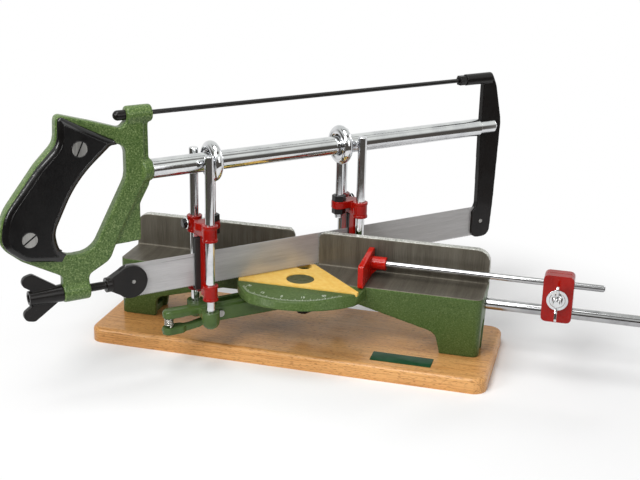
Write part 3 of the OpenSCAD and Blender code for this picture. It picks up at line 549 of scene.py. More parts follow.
@dataclass(frozen=True)
class InsertPlastic(Finish):
    """Golden yellow insert with faint saw scratches and painted shade along its edges."""

    colour: Tone = tone(238, 192, 92)
    pale: Tone = tone(244, 206, 116)
    scored: Tone = tone(190, 140, 58)
    edge_r: float = 1.0

    def lay(self, spot: Signal) -> Sockets:
        """Mottles the yellow, scores it along the cut and darkens its outer edges in patches as painted
        shade.

        Args:
            spot: The piece's own coordinates.

        Returns:
            What goes into the shader's sockets.
        """
        mottle = spot.noise(160.0, 4.0, 0.65).step(0.38, 0.64)
        lines = spot.effect("ground_lines", Across=SAW_ACROSS, Along=SAW_ALONG, Scale=700.0)["Lines"]
        edge = spot.effect("edge_wear", Radius=self.edge_r * MM)["Edge"]
        colour = (lines.step(0.64, 0.78) * 0.35).mix(mottle.mix(self.colour, self.pale), self.scored)
        # The edge mask darkens the outer edges towards the scratch colour: painted shade for the dark outline
        # along the insert's edges.
        return {"Base Color": (edge * 0.5).mix(colour, self.scored), "Roughness": mottle.spread(0.42, 0.56),
                "Normal": spot.noise(420.0, 3.0, 0.6).bump(0.12, 0.4), "Specular IOR Level": 0.25}


@dataclass(frozen=True)
class Beech(Finish):
    """Lacquered beech with its grain along the board."""

    light: Tone = tone(222, 168, 106)
    mid: Tone = tone(204, 146, 84)
    dark: Tone = tone(162, 104, 50)
    fleck: Tone = tone(128, 76, 34)

    def lay(self, spot: Signal) -> Sockets:
        """Lays broad bands, fine fibres and the short dark flecks of beech.

        Args:
            spot: The piece's own coordinates.

        Returns:
            What goes into the shader's sockets.
        """
        bands = spot.stretched(2.2, 30.0, 46.0).noise(1.0, 3.0, 0.55, 0.4)
        fibre = spot.stretched(14.0, 620.0, 760.0).noise(1.0, 3.0, 0.6)
        dash = spot.stretched(150.0, 900.0, 900.0).noise(1.0, 1.0, 0.4)
        patch = spot.stretched(20.0, 60.0, 90.0).noise(1.0)
        marks = dash.step(0.57, 0.66) * patch.step(0.12, 0.48)
        wood = bands.step(0.34, 0.66).mix(self.mid, self.light)
        wood = (fibre.step(0.46, 0.72) * 0.70).mix(wood, self.dark)
        return {"Base Color": (marks * 0.55).mix(wood, self.fleck),
                "Roughness": spot.effect("uneven_gloss", Smooth=0.30, Rough=0.46)["Roughness"],
                "Normal": (fibre - marks * 0.5).bump(0.12, 0.35),
                "Coat Weight": 0.20, "Coat Roughness": 0.12, "Specular IOR Level": 0.16}


@dataclass(frozen=True)
class MarkPaint(Finish):
    """Paint of the scale's marks, thinner in small patches."""

    colour: Tone = tone(222, 226, 214)
    thin: Tone = tone(180, 190, 168)

    def lay(self, spot: Signal) -> Sockets:
        """Thins the paint at a piece's own coordinates."""
        patch = spot.noise(700.0, 3.0, 0.6).step(0.48, 0.70)
        return {"Base Color": patch.mix(self.colour, self.thin), "Roughness": patch.spread(0.45, 0.60)}


class Paint(Enum):
    """Finishes of the saw's pieces."""

    BEECH = Beech("lacquered_beech")
    BED = BedPaint("bed_paint", speckles=620.0, depth=0.22, dark=tone(62, 82, 40), mid=tone(78, 98, 52),
                   light=tone(100, 118, 72), shine=0.12, coat=0.04)
    HANDLE = HammerPaint("handle_paint")
    ARM = GlossPaint("arm_paint", tone(76, 98, 50), tone(60, 82, 38), rubbed=tone(140, 156, 108))
    RED = GlossPaint("signal_red")
    STOP_RED = GlossPaint("stop_red", tone(194, 25, 7), tone(174, 17, 5), rubbed=tone(230, 100, 70))
    CHROME = Plating("chrome")
    ROD = Plating("bright_rod", tone(182, 182, 183), tone(152, 152, 154), 0.06, 0.16)
    NICKEL = Plating("nickel", tone(206, 203, 196), tone(168, 165, 158), 0.16, 0.32)
    BLADE = BrushedSteel("blade_steel")
    SCREW = BrushedSteel("turned_steel", along=UPWARD, across=(1.0, 0.0, 0.0), colour=tone(176, 175, 172),
                         dark=tone(128, 127, 124), metal=0.5)
    BLACK = GlossPaint("blacked_steel", tone(22, 18, 17), tone(14, 12, 12), 0.26, 0.40,
                       rubbed=tone(70, 64, 60), rub=0.30, peel=0.14, shine=0.22)
    BLACK_GLOSS = GlossPaint("gloss_black", tone(20, 17, 16), tone(13, 11, 11), 0.10, 0.20,
                             rubbed=tone(60, 55, 52), rub=0.15, peel=0.05, shine=0.50)
    GRIP = GripPlastic("grip_gloss")
    FIELD = GripPlastic("grip_field", dots=900.0, smooth=0.30, rough=0.42, shine=0.20)
    LINER = GripPlastic("liner_black", tone(27, 26, 26), tone(40, 39, 38), 0.50, 0.65)
    INSERT = InsertPlastic("insert_yellow")
    OLIVE = GlossPaint("olive_disc", tone(84, 88, 58), tone(66, 68, 42), 0.35, 0.50,
                       rubbed=tone(150, 150, 116))
    MARK = MarkPaint("scale_white")
    LABEL = GlossPaint("label_green", tone(30, 74, 46), tone(24, 62, 38), 0.50, 0.62,
                       rubbed=tone(60, 104, 74), shine=0.08)

    @cache
    def material(self) -> bpy.types.Material:
        """Makes the finish's material at its first use."""
        return self.value.build()

    def coat(self, piece: Thing) -> None:
        """Puts the finish on a piece in place of any other."""
        piece.data.materials.clear()
        piece.data.materials.append(self.material())


@dataclass(frozen=True)
class SoftEdge:
    """Rounds the sharp edges of a turned or flat node without touching its mesh."""

    width: float
    flatten: bool = True
    flat_turn: float = 0.5
    segments: int = 3
    angle: float = 38.0
    weight: int = 60

    def apply(self, node: Thing) -> None:
        """Adds live modifiers that join the node's triangles and round its edges.

        Args:
            node: The CAD node's object.
        """
        live(node, "join", "WELD", merge_threshold=JOIN)
        if self.flatten:
            live(node, "faces", "DECIMATE", decimate_type="DISSOLVE",
                 angle_limit=math.radians(self.flat_turn))
        live(node, "round", "BEVEL", width=self.width * MM, segments=self.segments, limit_method="ANGLE",
             angle_limit=math.radians(self.angle))
        live(node, "flat", "WEIGHTED_NORMAL", weight=self.weight, keep_sharp=False)


@dataclass(frozen=True)
class CastEdge:
    """Rounds a casting all over, its inner corners too, without touching its mesh."""

    grain: float
    rounds: int
    keep: float = 0.35

    def apply(self, node: Thing) -> None:
        """Adds live modifiers that lay a new skin over the node, smooth it and thin it out.

        Args:
            node: The CAD node's object.
        """
        live(node, "join", "WELD", merge_threshold=JOIN)
        live(node, "skin", "REMESH", mode="VOXEL", voxel_size=self.grain * MM, use_smooth_shade=True)
        live(node, "soft", "SMOOTH", factor=0.5, iterations=self.rounds)
        live(node, "thin", "DECIMATE", decimate_type="COLLAPSE", ratio=self.keep)


Edge = Union[SoftEdge, CastEdge]


class Assembly:
    """A sub-assembly that dresses its CAD nodes and makes pieces that ride on its bodies."""

    RING_SIDES = 12
    RING_STEPS = 48
    WIRE_SIDES = 3

    @staticmethod
    def dress(paint: Paint, edge: Optional[Edge], *nodes: str) -> None:
        """Gives CAD nodes their finish and soft edges.

        Args:
            paint: Their finish.
            edge: How their edges are rounded, if they are.
            *nodes: Names of the nodes.
        """
        for node in nodes:
            paint.coat(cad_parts[node])
            if edge is not None:
                edge.apply(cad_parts[node])
            LOG.info("dressed %s", node)

    @staticmethod
    def piece(name: str, mesh: bpy.types.Mesh, body: Optional[str], paint: Paint, slot: str) -> Thing:
        """Makes a piece of a mesh that is in place.

        Args:
            name: Name of the piece.
            mesh: Its mesh.
            body: CAD body that it rides on, or None where it rides on none.
            paint: Its finish.
            slot: Not used.

        Returns:
            The piece's object.
        """
        mesh.name = name
        mesh.materials.append(paint.material())
        piece = show(name, mesh)
        if body is not None:
            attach(piece, body)
        LOG.info("made %s on %s", name, body)
        return piece

    @staticmethod
    def solid(curve: bpy.types.Curve) -> bpy.types.Mesh:
        """Turns a curve into a mesh.

        Args:
            curve: The line or text, which is removed.

        Returns:
            Its mesh.
        """
        holder = show(curve.name, curve)
        view = bpy.context.evaluated_depsgraph_get()
        mesh = bpy.data.meshes.new_from_object(holder.evaluated_get(view))
        bpy.data.objects.remove(holder)
        bpy.data.curves.remove(curve)
        return mesh

    def tube(self, path: Sequence[Vector], radius: float, closed: bool) -> bpy.types.Mesh:
        """Lays a round wire along a line of points.

        Args:
            path: Points in metres.
            radius: Radius of the wire in millimetres.
            closed: Whether its ends meet.

        Returns:
            The wire's mesh in place.
        """
        curve = bpy.data.curves.new("wire_line", "CURVE")
        curve.dimensions = "3D"
        curve.bevel_depth = radius * MM
        curve.bevel_resolution = self.WIRE_SIDES
        curve.use_fill_caps = not closed
        line = curve.splines.new("POLY")
        line.use_cyclic_u = closed
        line.points.add(len(path) - 1)
        for point, place in zip(line.points, path):
            point.co = (*place, 1.0)
        mesh = self.solid(curve)
        mesh.shade_smooth()
        return mesh

    def ring(self, shape: Shape, radius: float, wire: float, place: Matrix) -> None:
        """Adds a round ring to a shape.

        Args:
            shape: Shape that it is added to.
            radius: Radius of the ring in millimetres.
            wire: Radius of its section in millimetres.
            place: Frame whose Z is the ring's axis.
        """
        section = bmesh.ops.create_circle(shape, radius=wire * MM, segments=self.RING_SIDES)["verts"]
        stand = Matrix.Translation((radius * MM, 0, 0)) @ Matrix.Rotation(QUARTER, 4, "X")
        bmesh.ops.transform(shape, matrix=place @ stand, verts=section)
        edges = {e for v in section for e in v.link_edges}
        bmesh.ops.spin(shape, geom=[*section, *edges], cent=place.translation, axis=place.col[2].to_3d(),
                       angle=math.tau, steps=self.RING_STEPS, use_merge=True)
        bmesh.ops.remove_doubles(shape, verts=shape.verts, dist=SAME)


@dataclass
class Board(Assembly):
    """The beech board and the bare label plate on it."""

    label_at: tuple[float, float] = (153.0, -58.5)
    label_size: Triple = (82.0, 27.0, 0.7)
    corner_r: float = 1.6
    rim_r: float = 0.25

    def build(self) -> None:
        """Dresses the board and lays the plate on it."""
        self.dress(Paint.BEECH, None, "base_board")
        self.dress(Paint.SCREW, SoftEdge(0.3), "bed_screws")
        self.label()

    def label(self) -> None:
        """Makes the plate with rounded corners and a softened rim."""
        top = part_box("base_board")[1].z
        size = Vector(self.label_size) * MM
        shape = bmesh.new()
        bmesh.ops.create_cube(shape, size=1.0, matrix=Matrix.Diagonal((*size, 1.0)))
        upright = [e for e in shape.edges if abs(e.verts[0].co.z - e.verts[1].co.z) > size.z / 2]
        bmesh.ops.bevel(shape, geom=upright, offset=self.corner_r * MM, segments=4, affect="EDGES",
                        profile=0.5, material=-1)
        rim = [e for f in shape.faces if f.normal.z > 0.9 for e in f.edges]
        bmesh.ops.bevel(shape, geom=rim, offset=self.rim_r * MM, segments=2, affect="EDGES",
                        profile=0.5, material=-1)
        place = Vector((self.label_at[0] * MM, self.label_at[1] * MM, top + size.z / 2))
        bmesh.ops.translate(shape, vec=place, verts=shape.verts)
        self.piece("label_plate", mesh_of(shape), "base", Paint.LABEL, "arm_green")


@dataclass
class Bed(Assembly):
    """The cast bed with its insert, pivot and mitre scale."""

    fan_at: tuple[float, float] = (11.0, -44.0)
    fan_r: float = 88.0
    fan_edge: float = 1.5
    front_r: float = 118.0
    slope_y: tuple[float, float] = (-90.0, -132.0)
    slope_z: tuple[float, float] = (112.5, 107.0)
    tick_from: int = -32
    tick_to: int = 41
    tick_rise: float = 0.12
    tick_wide: float = 0.42
    tick_long: Triple = (5.5, 4.2, 2.6)
    rim_gap: float = 2.6
    digits: float = 6.0
    digits_in: float = 9.6
    numbers: tuple[int, ...] = (-30, -15, 0, 15, 30)

    def build(self) -> None:
        """Dresses the bed's pieces and draws the scale."""
        self.dress(Paint.BED, CastEdge(1.2, 3), "bed_casting")
        self.dress(Paint.INSERT, SoftEdge(0.5), "insert_plate")
        self.dress(Paint.OLIVE, SoftEdge(0.3), "insert_screw")
        self.dress(Paint.BLACK, SoftEdge(0.3), "pivot_bolt", "pivot_washer", "pivot_nut")
        self.dress(Paint.SCREW, SoftEdge(0.3), "rail_screw")
        self.ticks()
        self.figures()

    def mark(self, angle: float, inward: float) -> Matrix:
        """Gives the frame of a mark on the scale face, with its Y along the radius.

        Args:
            angle: Direction in degrees to the right of straight forward, seen from the pivot.
            inward: Distance from the sector's rim in millimetres.

        Returns:
            The mark's matrix in metres.
        """
        turn = math.radians(angle)
        way = Vector((math.sin(turn), -math.cos(turn)))
        centre = Vector(self.fan_at)
        middle = way.dot(centre)
        side = middle + math.sqrt(middle ** 2 - centre.length_squared + (self.fan_r - self.fan_edge) ** 2)
        x, y = way * (min(side, self.front_r) - inward)
        run = self.slope_y[1] - self.slope_y[0]
        drop = self.slope_z[1] - self.slope_z[0]
        share = max(0.0, (y - self.slope_y[0]) / run)
        lean = math.atan2(-drop, -run) if share else 0.0
        place = Matrix.Translation(Vector((x, y, self.slope_z[0] + share * drop)) * MM)
        return place @ Matrix.Rotation(lean, 4, "X") @ Matrix.Rotation(turn, 4, "Z")

    def ticks(self) -> None:
        """Raises one mark for each degree, longer at every fifth and tenth."""
        shape = bmesh.new()
        tenth, fifth, single = self.tick_long
        for angle in range(self.tick_from, self.tick_to + 1):
            long = single if angle % 5 else fifth if angle % 10 else tenth
            size = Vector((self.tick_wide, long, 2 * self.tick_rise)) * MM
            place = self.mark(angle, self.rim_gap + long / 2)
            bmesh.ops.create_cube(shape, size=1.0, matrix=place @ Matrix.Diagonal((*size, 1.0)))
        self.piece("scale_ticks", mesh_of(shape), "base", Paint.MARK, "chrome")

    def figures(self) -> None:
        """Raises the figures of the scale."""
        shape = bmesh.new()
        for angle in self.numbers:
            curve = bpy.data.curves.new("figure", "FONT")
            curve.body = str(abs(angle))
            curve.size = self.digits * MM
            curve.extrude = self.tick_rise * MM
            curve.align_x, curve.align_y = "CENTER", "CENTER"
            mesh = self.solid(curve)
            mesh.transform(self.mark(angle, self.rim_gap + self.digits_in))
            shape.from_mesh(mesh)
            bpy.data.meshes.remove(mesh)
        bmesh.ops.remove_doubles(shape, verts=shape.verts, dist=SAME)
        self.piece("scale_figures", mesh_of(shape), "base", Paint.MARK, "chrome")


@dataclass
class Thread:
    """A screw thread that is wound onto a plain shank, with its ridge in shares of the pitch."""

    radius: float
    pitch: float
    length: float
    depth: float = 0.35
    root_in: float = 0.15
    root: float = 0.36
    crest: float = 0.054
    start: float = 0.7
    steps: int = 20

    def wind(self, place: Vector, axis: Vector) -> bpy.types.Mesh:
        """Winds one ridge along the shank.

        Args:
            place: Where the thread begins, in metres.
            axis: Direction of the shank.

        Returns:
            The ridge's mesh in place.
        """
        turns = max(1, int(self.length / self.pitch) - 1)
        pitch = self.pitch * MM
        low, high = (self.radius - self.root_in) * MM, (self.radius + self.depth) * MM
        shape = bmesh.new()
        corners = [shape.verts.new((x, 0.0, share * pitch)) for x, share in (
            (low, -self.root), (high, -self.crest), (high, self.crest), (low, self.root))]
        ring = [shape.edges.new((corners[i - 1], corners[i])) for i in range(len(corners))]
        bmesh.ops.spin(shape, geom=corners + ring, axis=UPWARD, dvec=(0, 0, pitch / self.steps),
                       angle=math.tau * turns, steps=self.steps * turns)
        bmesh.ops.holes_fill(shape, edges=[e for e in shape.edges if e.is_boundary], sides=4)
        lift = Matrix.Translation((0, 0, self.start * pitch))
        bmesh.ops.transform(shape, matrix=Matrix.Translation(place) @ facing(axis) @ lift, verts=shape.verts)
        return mesh_of(shape)


@dataclass
class SwingArm(Assembly):
    """The arm with its posts, index lever and lever spring."""

    spring_u: float = -201.5
    spring_z: tuple[float, float] = (63.55, 76.95)
    wire: float = 1.8
    coil_od: float = 12.4
    curls: int = 4
    per_curl: int = 28

    def build(self) -> None:
        """Dresses the arm's pieces and winds the spring."""
        self.dress(Paint.ARM, CastEdge(0.8, 6), "swing_arm")
        self.dress(Paint.ARM, CastEdge(0.7, 6), "index_lever")
        self.dress(Paint.CHROME, SoftEdge(0.8), "post_front_near", "post_front_far", "post_rear_near",
                   "post_rear_far")
        self.dress(Paint.SCREW, SoftEdge(0.3), "lever_pin")
        self.spring()

    def spring(self) -> None:
        """Winds the spring as one wire between the tab and the finger."""
        mean = (self.coil_od - self.wire) / 2
        low, high = self.spring_z[0] + self.wire, self.spring_z[1] - self.wire
        count = self.curls * self.per_curl
        path = [saw_point(mean, self.spring_u, self.spring_z[0])]
        for step in range(count + 1):
            turn = math.tau * step / self.per_curl
            path.append(saw_point(mean * math.cos(turn), self.spring_u + mean * math.sin(turn),
                                  low + (high - low) * step / count))
        path.append(saw_point(mean, self.spring_u, self.spring_z[1]))
        mesh = self.tube(path, self.wire / 2, closed=False)
        piece = self.piece("lever_spring_wire", mesh, None, Paint.NICKEL, "screw_steel")
        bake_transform(piece)
        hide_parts("lever_spring")


@dataclass
class Guide(Assembly):
    """A lifting guide with its liners, eye and lock screw.

    The lock screw points along the saw, towards the bow's end where outward is 1 and back where it is -1.
    """

    end: str
    outward: float
    post_u: float
    eye_u: float
    post_half: float = 24.0
    stem_r: float = 5.2
    stem_pitch: float = 1.5
    stem_thread_l: float = 6.0
    stem_thread_z: float = 178.0
    knob_z: float = 194.0
    knob_from: float = 10.9
    knurl_r: float = 6.65
    knurl_from: float = 2.4
    knurl_l: float = 3.0
    knurl_groove: float = 0.95
    ridges: int = 26
    rim_r: float = 6.7
    rim_wire: float = 1.15
    rim_from: float = 1.2

    def build(self) -> None:
        """Dresses the guide and adds its knurl, rim and thread."""
        self.dress(Paint.RED, CastEdge(0.6, 5), f"{self.end}_guide")
        self.dress(Paint.LINER, SoftEdge(0.3), f"{self.end}_liners")
        self.dress(Paint.CHROME, None, f"{self.end}_eye")
        self.dress(Paint.BLACK, SoftEdge(0.5, flatten=False), f"{self.end}_eye_nuts")
        self.dress(Paint.GRIP, SoftEdge(0.3), f"{self.end}_lock_screw")
        self.knob()
        thread = Thread(self.stem_r, self.stem_pitch, self.stem_thread_l)
        mesh = thread.wind(saw_point(0.0, self.eye_u, self.stem_thread_z), Vector(UPWARD))
        self.piece(f"{self.end}_eye_thread", mesh, f"{self.end}_guide", Paint.CHROME, "chrome")

    def knob(self) -> None:
        """Adds the knurl and the bright rim of the lock screw."""
        seat = saw_point(-self.post_half, self.post_u + self.outward * self.knob_from, self.knob_z)
        place = Matrix.Translation(seat) @ facing(SAW_TURN @ Vector((0.0, self.outward, 0.0)))
        knurl = bmesh.new()
        made = bmesh.ops.create_circle(knurl, cap_ends=True, radius=self.knurl_r * MM,
                                       segments=2 * self.ridges)
        bmesh.ops.scale(knurl, vec=(self.knurl_groove, self.knurl_groove, 1.0), verts=made["verts"][::2])
        lifted = bmesh.ops.extrude_face_region(knurl, geom=list(knurl.faces))
        tops = [v for v in lifted["geom"] if isinstance(v, bmesh.types.BMVert)]
        bmesh.ops.translate(knurl, vec=(0, 0, self.knurl_l * MM), verts=tops)
        lift = Matrix.Translation((0, 0, self.knurl_from * MM))
        bmesh.ops.transform(knurl, matrix=place @ lift, verts=knurl.verts)
        lock = f"{self.end}_lock"
        self.piece(f"{lock}_knurl", mesh_of(knurl, smooth=20.0), lock, Paint.GRIP, "grip_black")
        rim = bmesh.new()
        self.ring(rim, self.rim_r, self.rim_wire, place @ Matrix.Translation((0, 0, self.rim_from * MM)))
        self.piece(f"{lock}_rim", mesh_of(rim), lock, Paint.CHROME, "chrome")


@dataclass
class Grip(Assembly):
    """A moulded grip scale: rolled edges, a raised bead and a stippled field inside it.

    The side is 1 for the near scale and -1 for the far one.
    """

    node: str
    side: float
    casting_t: float = 15.0
    face: float = 16.0
    crown_r: float = 170.0
    screw_u: tuple[float, float] = (-315.5, -381.5)
    screw_z: tuple[float, float] = (320.5, 216.8)
    seat_r: float = 9.9
    seat_wire: float = 0.6
    seat_in: float = 0.15
    roll: float = 6.5
    wall: float = 0.22
    cell: float = 1.2
    fine: float = 0.15
    flat_gap: float = 0.01
    bead_in: float = 6.6
    bead_r: float = 0.55
    bead_slack: float = 0.05
    bead_rounds: int = 3
    edge: list[Vector] = field(init=False)
    rim: KDTree = field(init=False)

    def build(self) -> None:
        """Makes the scale in its node's outline, with its bead and screw seats."""
        self.edge = self.even(self.outline(), self.cell)
        fine = self.even(self.edge, self.fine)
        self.rim = KDTree(len(fine))
        for index, point in enumerate(fine):
            self.rim.insert(point, index)
        self.rim.balance()
        self.scale()
        self.bead()
        self.seats()

    def inside(self, place: Vector) -> float:
        """Gives the distance of a place from the outline in millimetres."""
        return self.rim.find(place)[2] / MM

    def outline(self) -> list[Vector]:
        """Takes the outline of the scale from its flat inner face.

        Returns:
            The outline's points in order, in the frame of a square cut.
        """
        shape = bmesh.new()
        shape.from_mesh(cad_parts[self.node].data)
        bmesh.ops.transform(shape, matrix=SAW_TURN.inverted(), verts=shape.verts)
        bmesh.ops.remove_doubles(shape, verts=shape.verts, dist=JOIN)
        inner = self.side * self.casting_t / 2 * MM
        others = [f for f in shape.faces if any(abs(v.co.x - inner) > self.flat_gap * MM for v in f.verts)]
        bmesh.ops.delete(shape, geom=others, context="FACES")
        left = [e for e in shape.edges if e.is_boundary]
        loops: list[list[Vector]] = []
        while left:
            loop = list(left.pop().verts)
            while (follow := next((e for e in loop[-1].link_edges if e in left), None)) is not None:
                left.remove(follow)
                loop.append(follow.other_vert(loop[-1]))
            loops.append([v.co.copy() for v in loop[:-1]])
        shape.free()
        return max(loops, key=lambda loop: sum((a - b).length for a, b in zip(loop, loop[1:])))

    @staticmethod
    def even(points: Sequence[Vector], step: float) -> list[Vector]:
        """Spaces the points of a closed line evenly.

        Args:
            points: Corners of the line.
            step: Distance between points in millimetres.

        Returns:
            The new points in order.
        """
        made: list[Vector] = []
        left = 0.0
        for _, start, end in around(points):
            length = (end - start).length
            while left < length:
                made.append(start.lerp(end, left / length))
                left += step * MM
            left -= length
        return made

    def rise(self, place: Vector) -> float:
        """Gives the thickness of the scale at a place, with its crowned face and rolled edge.

        Args:
            place: The place on the scale's flat side.

        Returns:
            The thickness in metres, towards the scale's own side.
        """
        du = (self.screw_u[0] - self.screw_u[1]) * MM
        dz = (self.screw_z[0] - self.screw_z[1]) * MM
        off = (place.y - self.screw_u[0] * MM) * dz - (place.z - self.screw_z[0] * MM) * du
        radius = self.crown_r * MM
        sag = radius - math.sqrt(max(0.0, radius ** 2 - (off / math.hypot(du, dz)) ** 2))
        share = min(1.0, self.inside(place) / self.roll)
        roll = self.wall + (1.0 - self.wall) * math.sqrt(1.0 - (1.0 - share) ** 2)
        return self.side * roll * ((self.face - self.casting_t / 2) * MM - sag)

    def scale(self) -> None:
        """Builds the scale itself, cut into small cells that are bent to its face."""
        shape = bmesh.new()
        shape.faces.new([shape.verts.new(point) for point in self.edge])
        for axis, way in ((1, Vector((0.0, 1.0, 0.0))), (2, Vector(UPWARD))):
            spots = [v.co[axis] for v in shape.verts]
            for step in range(1, int((max(spots) - min(spots)) / (self.cell * MM)) + 1):
                bmesh.ops.bisect_plane(shape, geom=[*shape.verts, *shape.edges, *shape.faces], dist=CUT,
                                       plane_co=way * (min(spots) + step * self.cell * MM), plane_no=way)
        bmesh.ops.triangulate(shape, faces=list(shape.faces))
        made = bmesh.ops.extrude_face_region(shape, geom=list(shape.faces))
        lifted = {v for v in made["geom"] if isinstance(v, bmesh.types.BMVert)}
        for face in shape.faces:
            field_face = all(v in lifted and self.inside(v.co) > self.bead_in for v in face.verts)
            face.material_index = int(field_face)
        for vert in lifted:
            vert.co.x += self.rise(vert.co)
        bmesh.ops.transform(shape, matrix=SAW_TURN, verts=shape.verts)
        piece = self.piece(f"{self.node}_scale", mesh_of(shape, smooth=50.0), "saw", Paint.GRIP, "grip_black")
        piece.data.materials.append(Paint.FIELD.material())
        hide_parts(self.node)

    def bead(self) -> None:
        """Lays the raised bead that runs along the outline."""
        turn = sum(a.y * b.z - a.z * b.y for _, a, b in around(self.edge))
        line: list[Vector] = []
        for before, here, after in around(self.edge):
            along = (after - before).normalized()
            inward = Vector((0.0, -along.z, along.y)) * math.copysign(self.bead_in * MM, turn)
            if self.inside(here + inward) > self.bead_in - self.bead_slack:
                line.append(here + inward)
        for _ in range(self.bead_rounds):
            line = [(a + b * 2.0 + c) / 4.0 for a, b, c in around(line)]
        path = [SAW_TURN @ Vector((spot.x + self.rise(spot), spot.y, spot.z)) for spot in line]
        mesh = self.tube(path, self.bead_r, closed=True)
        self.piece(f"{self.node}_bead", mesh, "saw", Paint.GRIP, "grip_black")

    def seats(self) -> None:
        """Puts a moulded collar round each screw's head."""
        shape = bmesh.new()
        turn = SAW_TURN @ Matrix.Rotation(self.side * QUARTER, 4, "Y")
        for along, height in zip(self.screw_u, self.screw_z):
            place = saw_point(self.side * (self.face - self.seat_in), along, height)
            self.ring(shape, self.seat_r, self.seat_wire, Matrix.Translation(place) @ turn)
        self.piece(f"{self.node}_seats", mesh_of(shape), "saw", Paint.GRIP, "grip_black")


@dataclass
class BowSaw(Assembly):
    """The bow saw: handle, tube, tension rod, bow end and blade."""

    axis_z: float = 137.3
    stem_from: float = -306.6
    stem_to: float = -289.0
    stem_r: float = 5.0
    pitch: float = 1.5
    depth: float = 0.3

    def build(self) -> None:
        """Dresses the saw's pieces and winds the tension thread."""
        self.dress(Paint.HANDLE, CastEdge(0.9, 40), "handle_casting")
        self.dress(Paint.SCREW, SoftEdge(0.25), "grip_screws")
        self.dress(Paint.CHROME, SoftEdge(0.3), "frame_tube")
        self.dress(Paint.CHROME, SoftEdge(0.4), "tube_plug")
        self.dress(Paint.BLACK, CastEdge(0.6, 5), "bow_end")
        self.dress(Paint.BLACK_GLOSS, None, "tension_rod")
        self.dress(Paint.BLACK, SoftEdge(0.4), "rod_cap_nut")
        self.dress(Paint.BLACK, SoftEdge(0.5, flatten=False), "rod_lock_nut")
        self.dress(Paint.BLADE, None, "saw_blade")
        self.dress(Paint.BLACK, CastEdge(0.6, 4), "blade_holder")
        self.dress(Paint.SCREW, SoftEdge(0.3), "blade_pins")
        self.dress(Paint.BLACK, CastEdge(0.5, 7), "wing_nut")
        thread = Thread(self.stem_r, self.pitch, self.stem_to - self.stem_from, self.depth)
        mesh = thread.wind(saw_point(0.0, self.stem_from, self.axis_z), Vector(SAW_ALONG))
        self.piece("tension_thread", mesh, "saw", Paint.BLACK, "black_steel")


@dataclass
class LengthStop(Assembly):
    """The length stop with its rail, clamp and stop plate."""

    bolt_at: Triple = (345.5, -34.0, 115.0)
    bolt_r: float = 4.0
    pitch: float = 1.25
    length: float = 5.0
    depth: float = 0.3
    bead_share: float = 0.72
    bead_r: float = 0.45

    def build(self) -> None:
        """Dresses the stop's pieces and adds the washer's bead and the bolt's thread."""
        self.dress(Paint.ROD, SoftEdge(0.5), "stop_rail", "stop_rod")
        self.dress(Paint.RED, CastEdge(0.5, 5), "clamp_front_jaw", "clamp_rear_jaw")
        self.dress(Paint.CHROME, SoftEdge(0.4, flatten=False), "clamp_bolt", "clamp_washer")
        self.dress(Paint.CHROME, CastEdge(0.4, 5), "clamp_wing_nut")
        self.dress(Paint.STOP_RED, CastEdge(0.6, 4), "stop_plate")
        low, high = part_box("clamp_washer")
        face = Matrix.Translation((self.bolt_at[0] * MM, low.y, self.bolt_at[2] * MM))
        bead = bmesh.new()
        self.ring(bead, self.bead_share * (high.x - low.x) / 2 / MM, self.bead_r,
                  face @ Matrix.Rotation(QUARTER, 4, "X"))
        self.piece("clamp_washer_bead", mesh_of(bead), "stop_clamp", Paint.NICKEL, "chrome")
        thread = Thread(self.bolt_r, self.pitch, self.length, self.depth)
        mesh = thread.wind(Vector(self.bolt_at) * MM, Vector((0, 1, 0)))
        self.piece("clamp_thread", mesh, "stop_clamp", Paint.CHROME, "chrome")


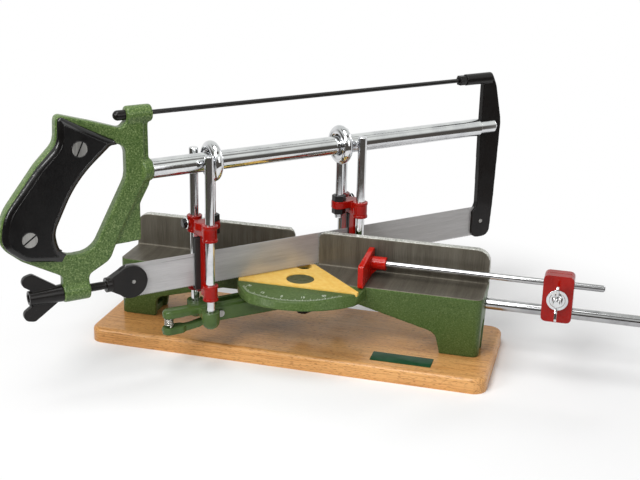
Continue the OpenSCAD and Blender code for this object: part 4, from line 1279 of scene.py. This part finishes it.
@dataclass
class Studio:
    """The pale floor, the soft lights and the camera, with places in metres."""

    camera_at: Triple = (0.401503, -1.436237, 0.680609)
    azimuth: float = 14.8118
    elevation: float = 19.4871
    roll: float = 1.2976
    focus_px: float = 1156.08
    frame_px: float = 640.0
    sensor: float = 36.0
    floor_at: Triple = (0.10, -0.02, 0.0)
    floor_r: float = 0.66
    fade: tuple[float, float] = (0.30, 0.58)
    cloth: Tone = (0.96, 0.96, 0.96, 1.0)
    sky: Tone = (0.94, 0.96, 0.93, 1.0)
    dark: Tone = (0.10, 0.09, 0.08, 1.0)
    ambient: Tone = (0.11, 0.11, 0.11, 1.0)
    aim: Triple = (0.03, 0.0, 0.12)
    lamps: tuple[tuple[str, Triple, float, float], ...] = (
        ("top", (-0.25, -0.40, 1.85), 1.0, 15.0),
        ("key", (-0.30, -1.90, 1.90), 0.8, 28.0),
        ("fill", (1.60, -1.50, 1.00), 1.2, 9.0),
        ("strip", (-1.10, -1.70, 0.95), 0.6, 13.0),
        ("rim", (1.30, 1.25, 1.00), 0.40, 6.0),
    )

    def build(self) -> None:
        """Sets up everything that isn't part of the saw."""
        bpy.context.scene.view_settings.view_transform = "Standard"
        self.floor()
        self.world()
        self.light()
        self.camera()

    def camera(self) -> None:
        """Sets the camera at the picture's point of view."""
        data = bpy.data.cameras.new("camera")
        data.sensor_width = self.sensor
        data.lens = self.focus_px * self.sensor / self.frame_px
        camera = show("camera", data)
        view = Matrix.Translation(self.camera_at)
        for angle, axis in ((self.azimuth, "Z"), (90.0 - self.elevation, "X"), (self.roll, "Z")):
            view = view @ Matrix.Rotation(math.radians(angle), 4, axis)
        camera.matrix_world = view
        bpy.context.scene.camera = camera

    def light(self) -> None:
        """Hangs the soft square lamps, each with its place, width and watts, and points them at the saw."""
        for name, place, size, power in self.lamps:
            data = bpy.data.lights.new(name, "AREA")
            data.shape = "SQUARE"
            data.size = size
            data.energy = power
            lamp = show(name, data)
            lamp.location = place
            lamp.rotation_euler = (Vector(self.aim) - Vector(place)).to_track_quat("-Z", "Y").to_euler()

    def world(self) -> None:
        """Makes a white backdrop behind the saw and a darker room on the camera's side."""
        world = bpy.data.worlds.new("studio")
        world.use_nodes = True
        bpy.context.scene.world = world
        sheet = Sheet(world.node_tree)
        way = sheet.get("TexCoord", "Generated").parts()
        behind = way["Y"].step(-0.15, 0.35)
        low = way["Z"].step(0.18, 0.50).rest()
        gap = way["Z"].step(0.72, 0.78) - way["Z"].step(0.86, 0.92)
        sky = (behind * low).mix(self.sky, WHITE)
        room = (behind.rest() * (low + gap)).mix(sky, self.dark)
        rays = sheet.outputs(sheet.add("LightPath"))
        seen = rays["Is Camera Ray"].calc("MAXIMUM", rays["Is Transmission Ray"])
        shown = seen.mix(rays["Is Glossy Ray"].mix(self.ambient, room), WHITE)
        glow = sheet.get("Background", 0, {"Color": shown, "Strength": 1.0})
        sheet.add("OutputWorld", {"Surface": glow})

    def floor(self) -> None:
        """Lays the pale floor, which keeps the saw's shadow and turns white further out."""
        shape = bmesh.new()
        bmesh.ops.create_circle(shape, cap_ends=True, radius=self.floor_r, segments=128)
        bmesh.ops.translate(shape, vec=self.floor_at, verts=shape.verts)
        floor = show("floor", mesh_of(shape))
        material = bpy.data.materials.new("pale_floor")
        material.use_nodes = True
        sheet = Sheet(material.node_tree)
        cloth = sheet.get("BsdfDiffuse", 0, {"Color": self.cloth})
        white = sheet.get("Emission", 0, {"Color": WHITE, "Strength": 1.0})
        spot = sheet.get("TexCoord", "Object")
        far = sheet.get("VectorMath", "Value", {0: spot, 1: self.floor_at}, operation="DISTANCE")
        rays = sheet.outputs(sheet.add("LightPath"))
        seen = rays["Is Camera Ray"].calc("MAXIMUM", rays["Is Transmission Ray"])
        share = seen.calc("MAXIMUM", rays["Is Glossy Ray"]) * far.step(*self.fade)
        mixed = sheet.get("MixShader", 0, {0: share, 1: cloth, 2: white})
        sheet.add("OutputMaterial", {"Surface": mixed})
        floor.data.materials.append(material)


def main() -> None:
    """Builds the studio, the shared effects and every sub-assembly."""
    logging.basicConfig(level=logging.INFO, format="%(name)s: %(message)s")
    Studio().build()
    for effect in (hammered_paint, ground_lines, uneven_gloss, edge_wear, moulded_stipple):
        effect()
    for assembly in (Board(), Bed(), SwingArm(),
                     Guide("front", outward=-1.0, post_u=-152.5, eye_u=-138.0),
                     Guide("rear", outward=1.0, post_u=72.93, eye_u=52.93),
                     Grip("grip_near", side=1.0), Grip("grip_far", side=-1.0), BowSaw(), LengthStop()):
        assembly.build()
        LOG.info("finished %s", type(assembly).__name__)


if __name__ == "__main__":
    main()
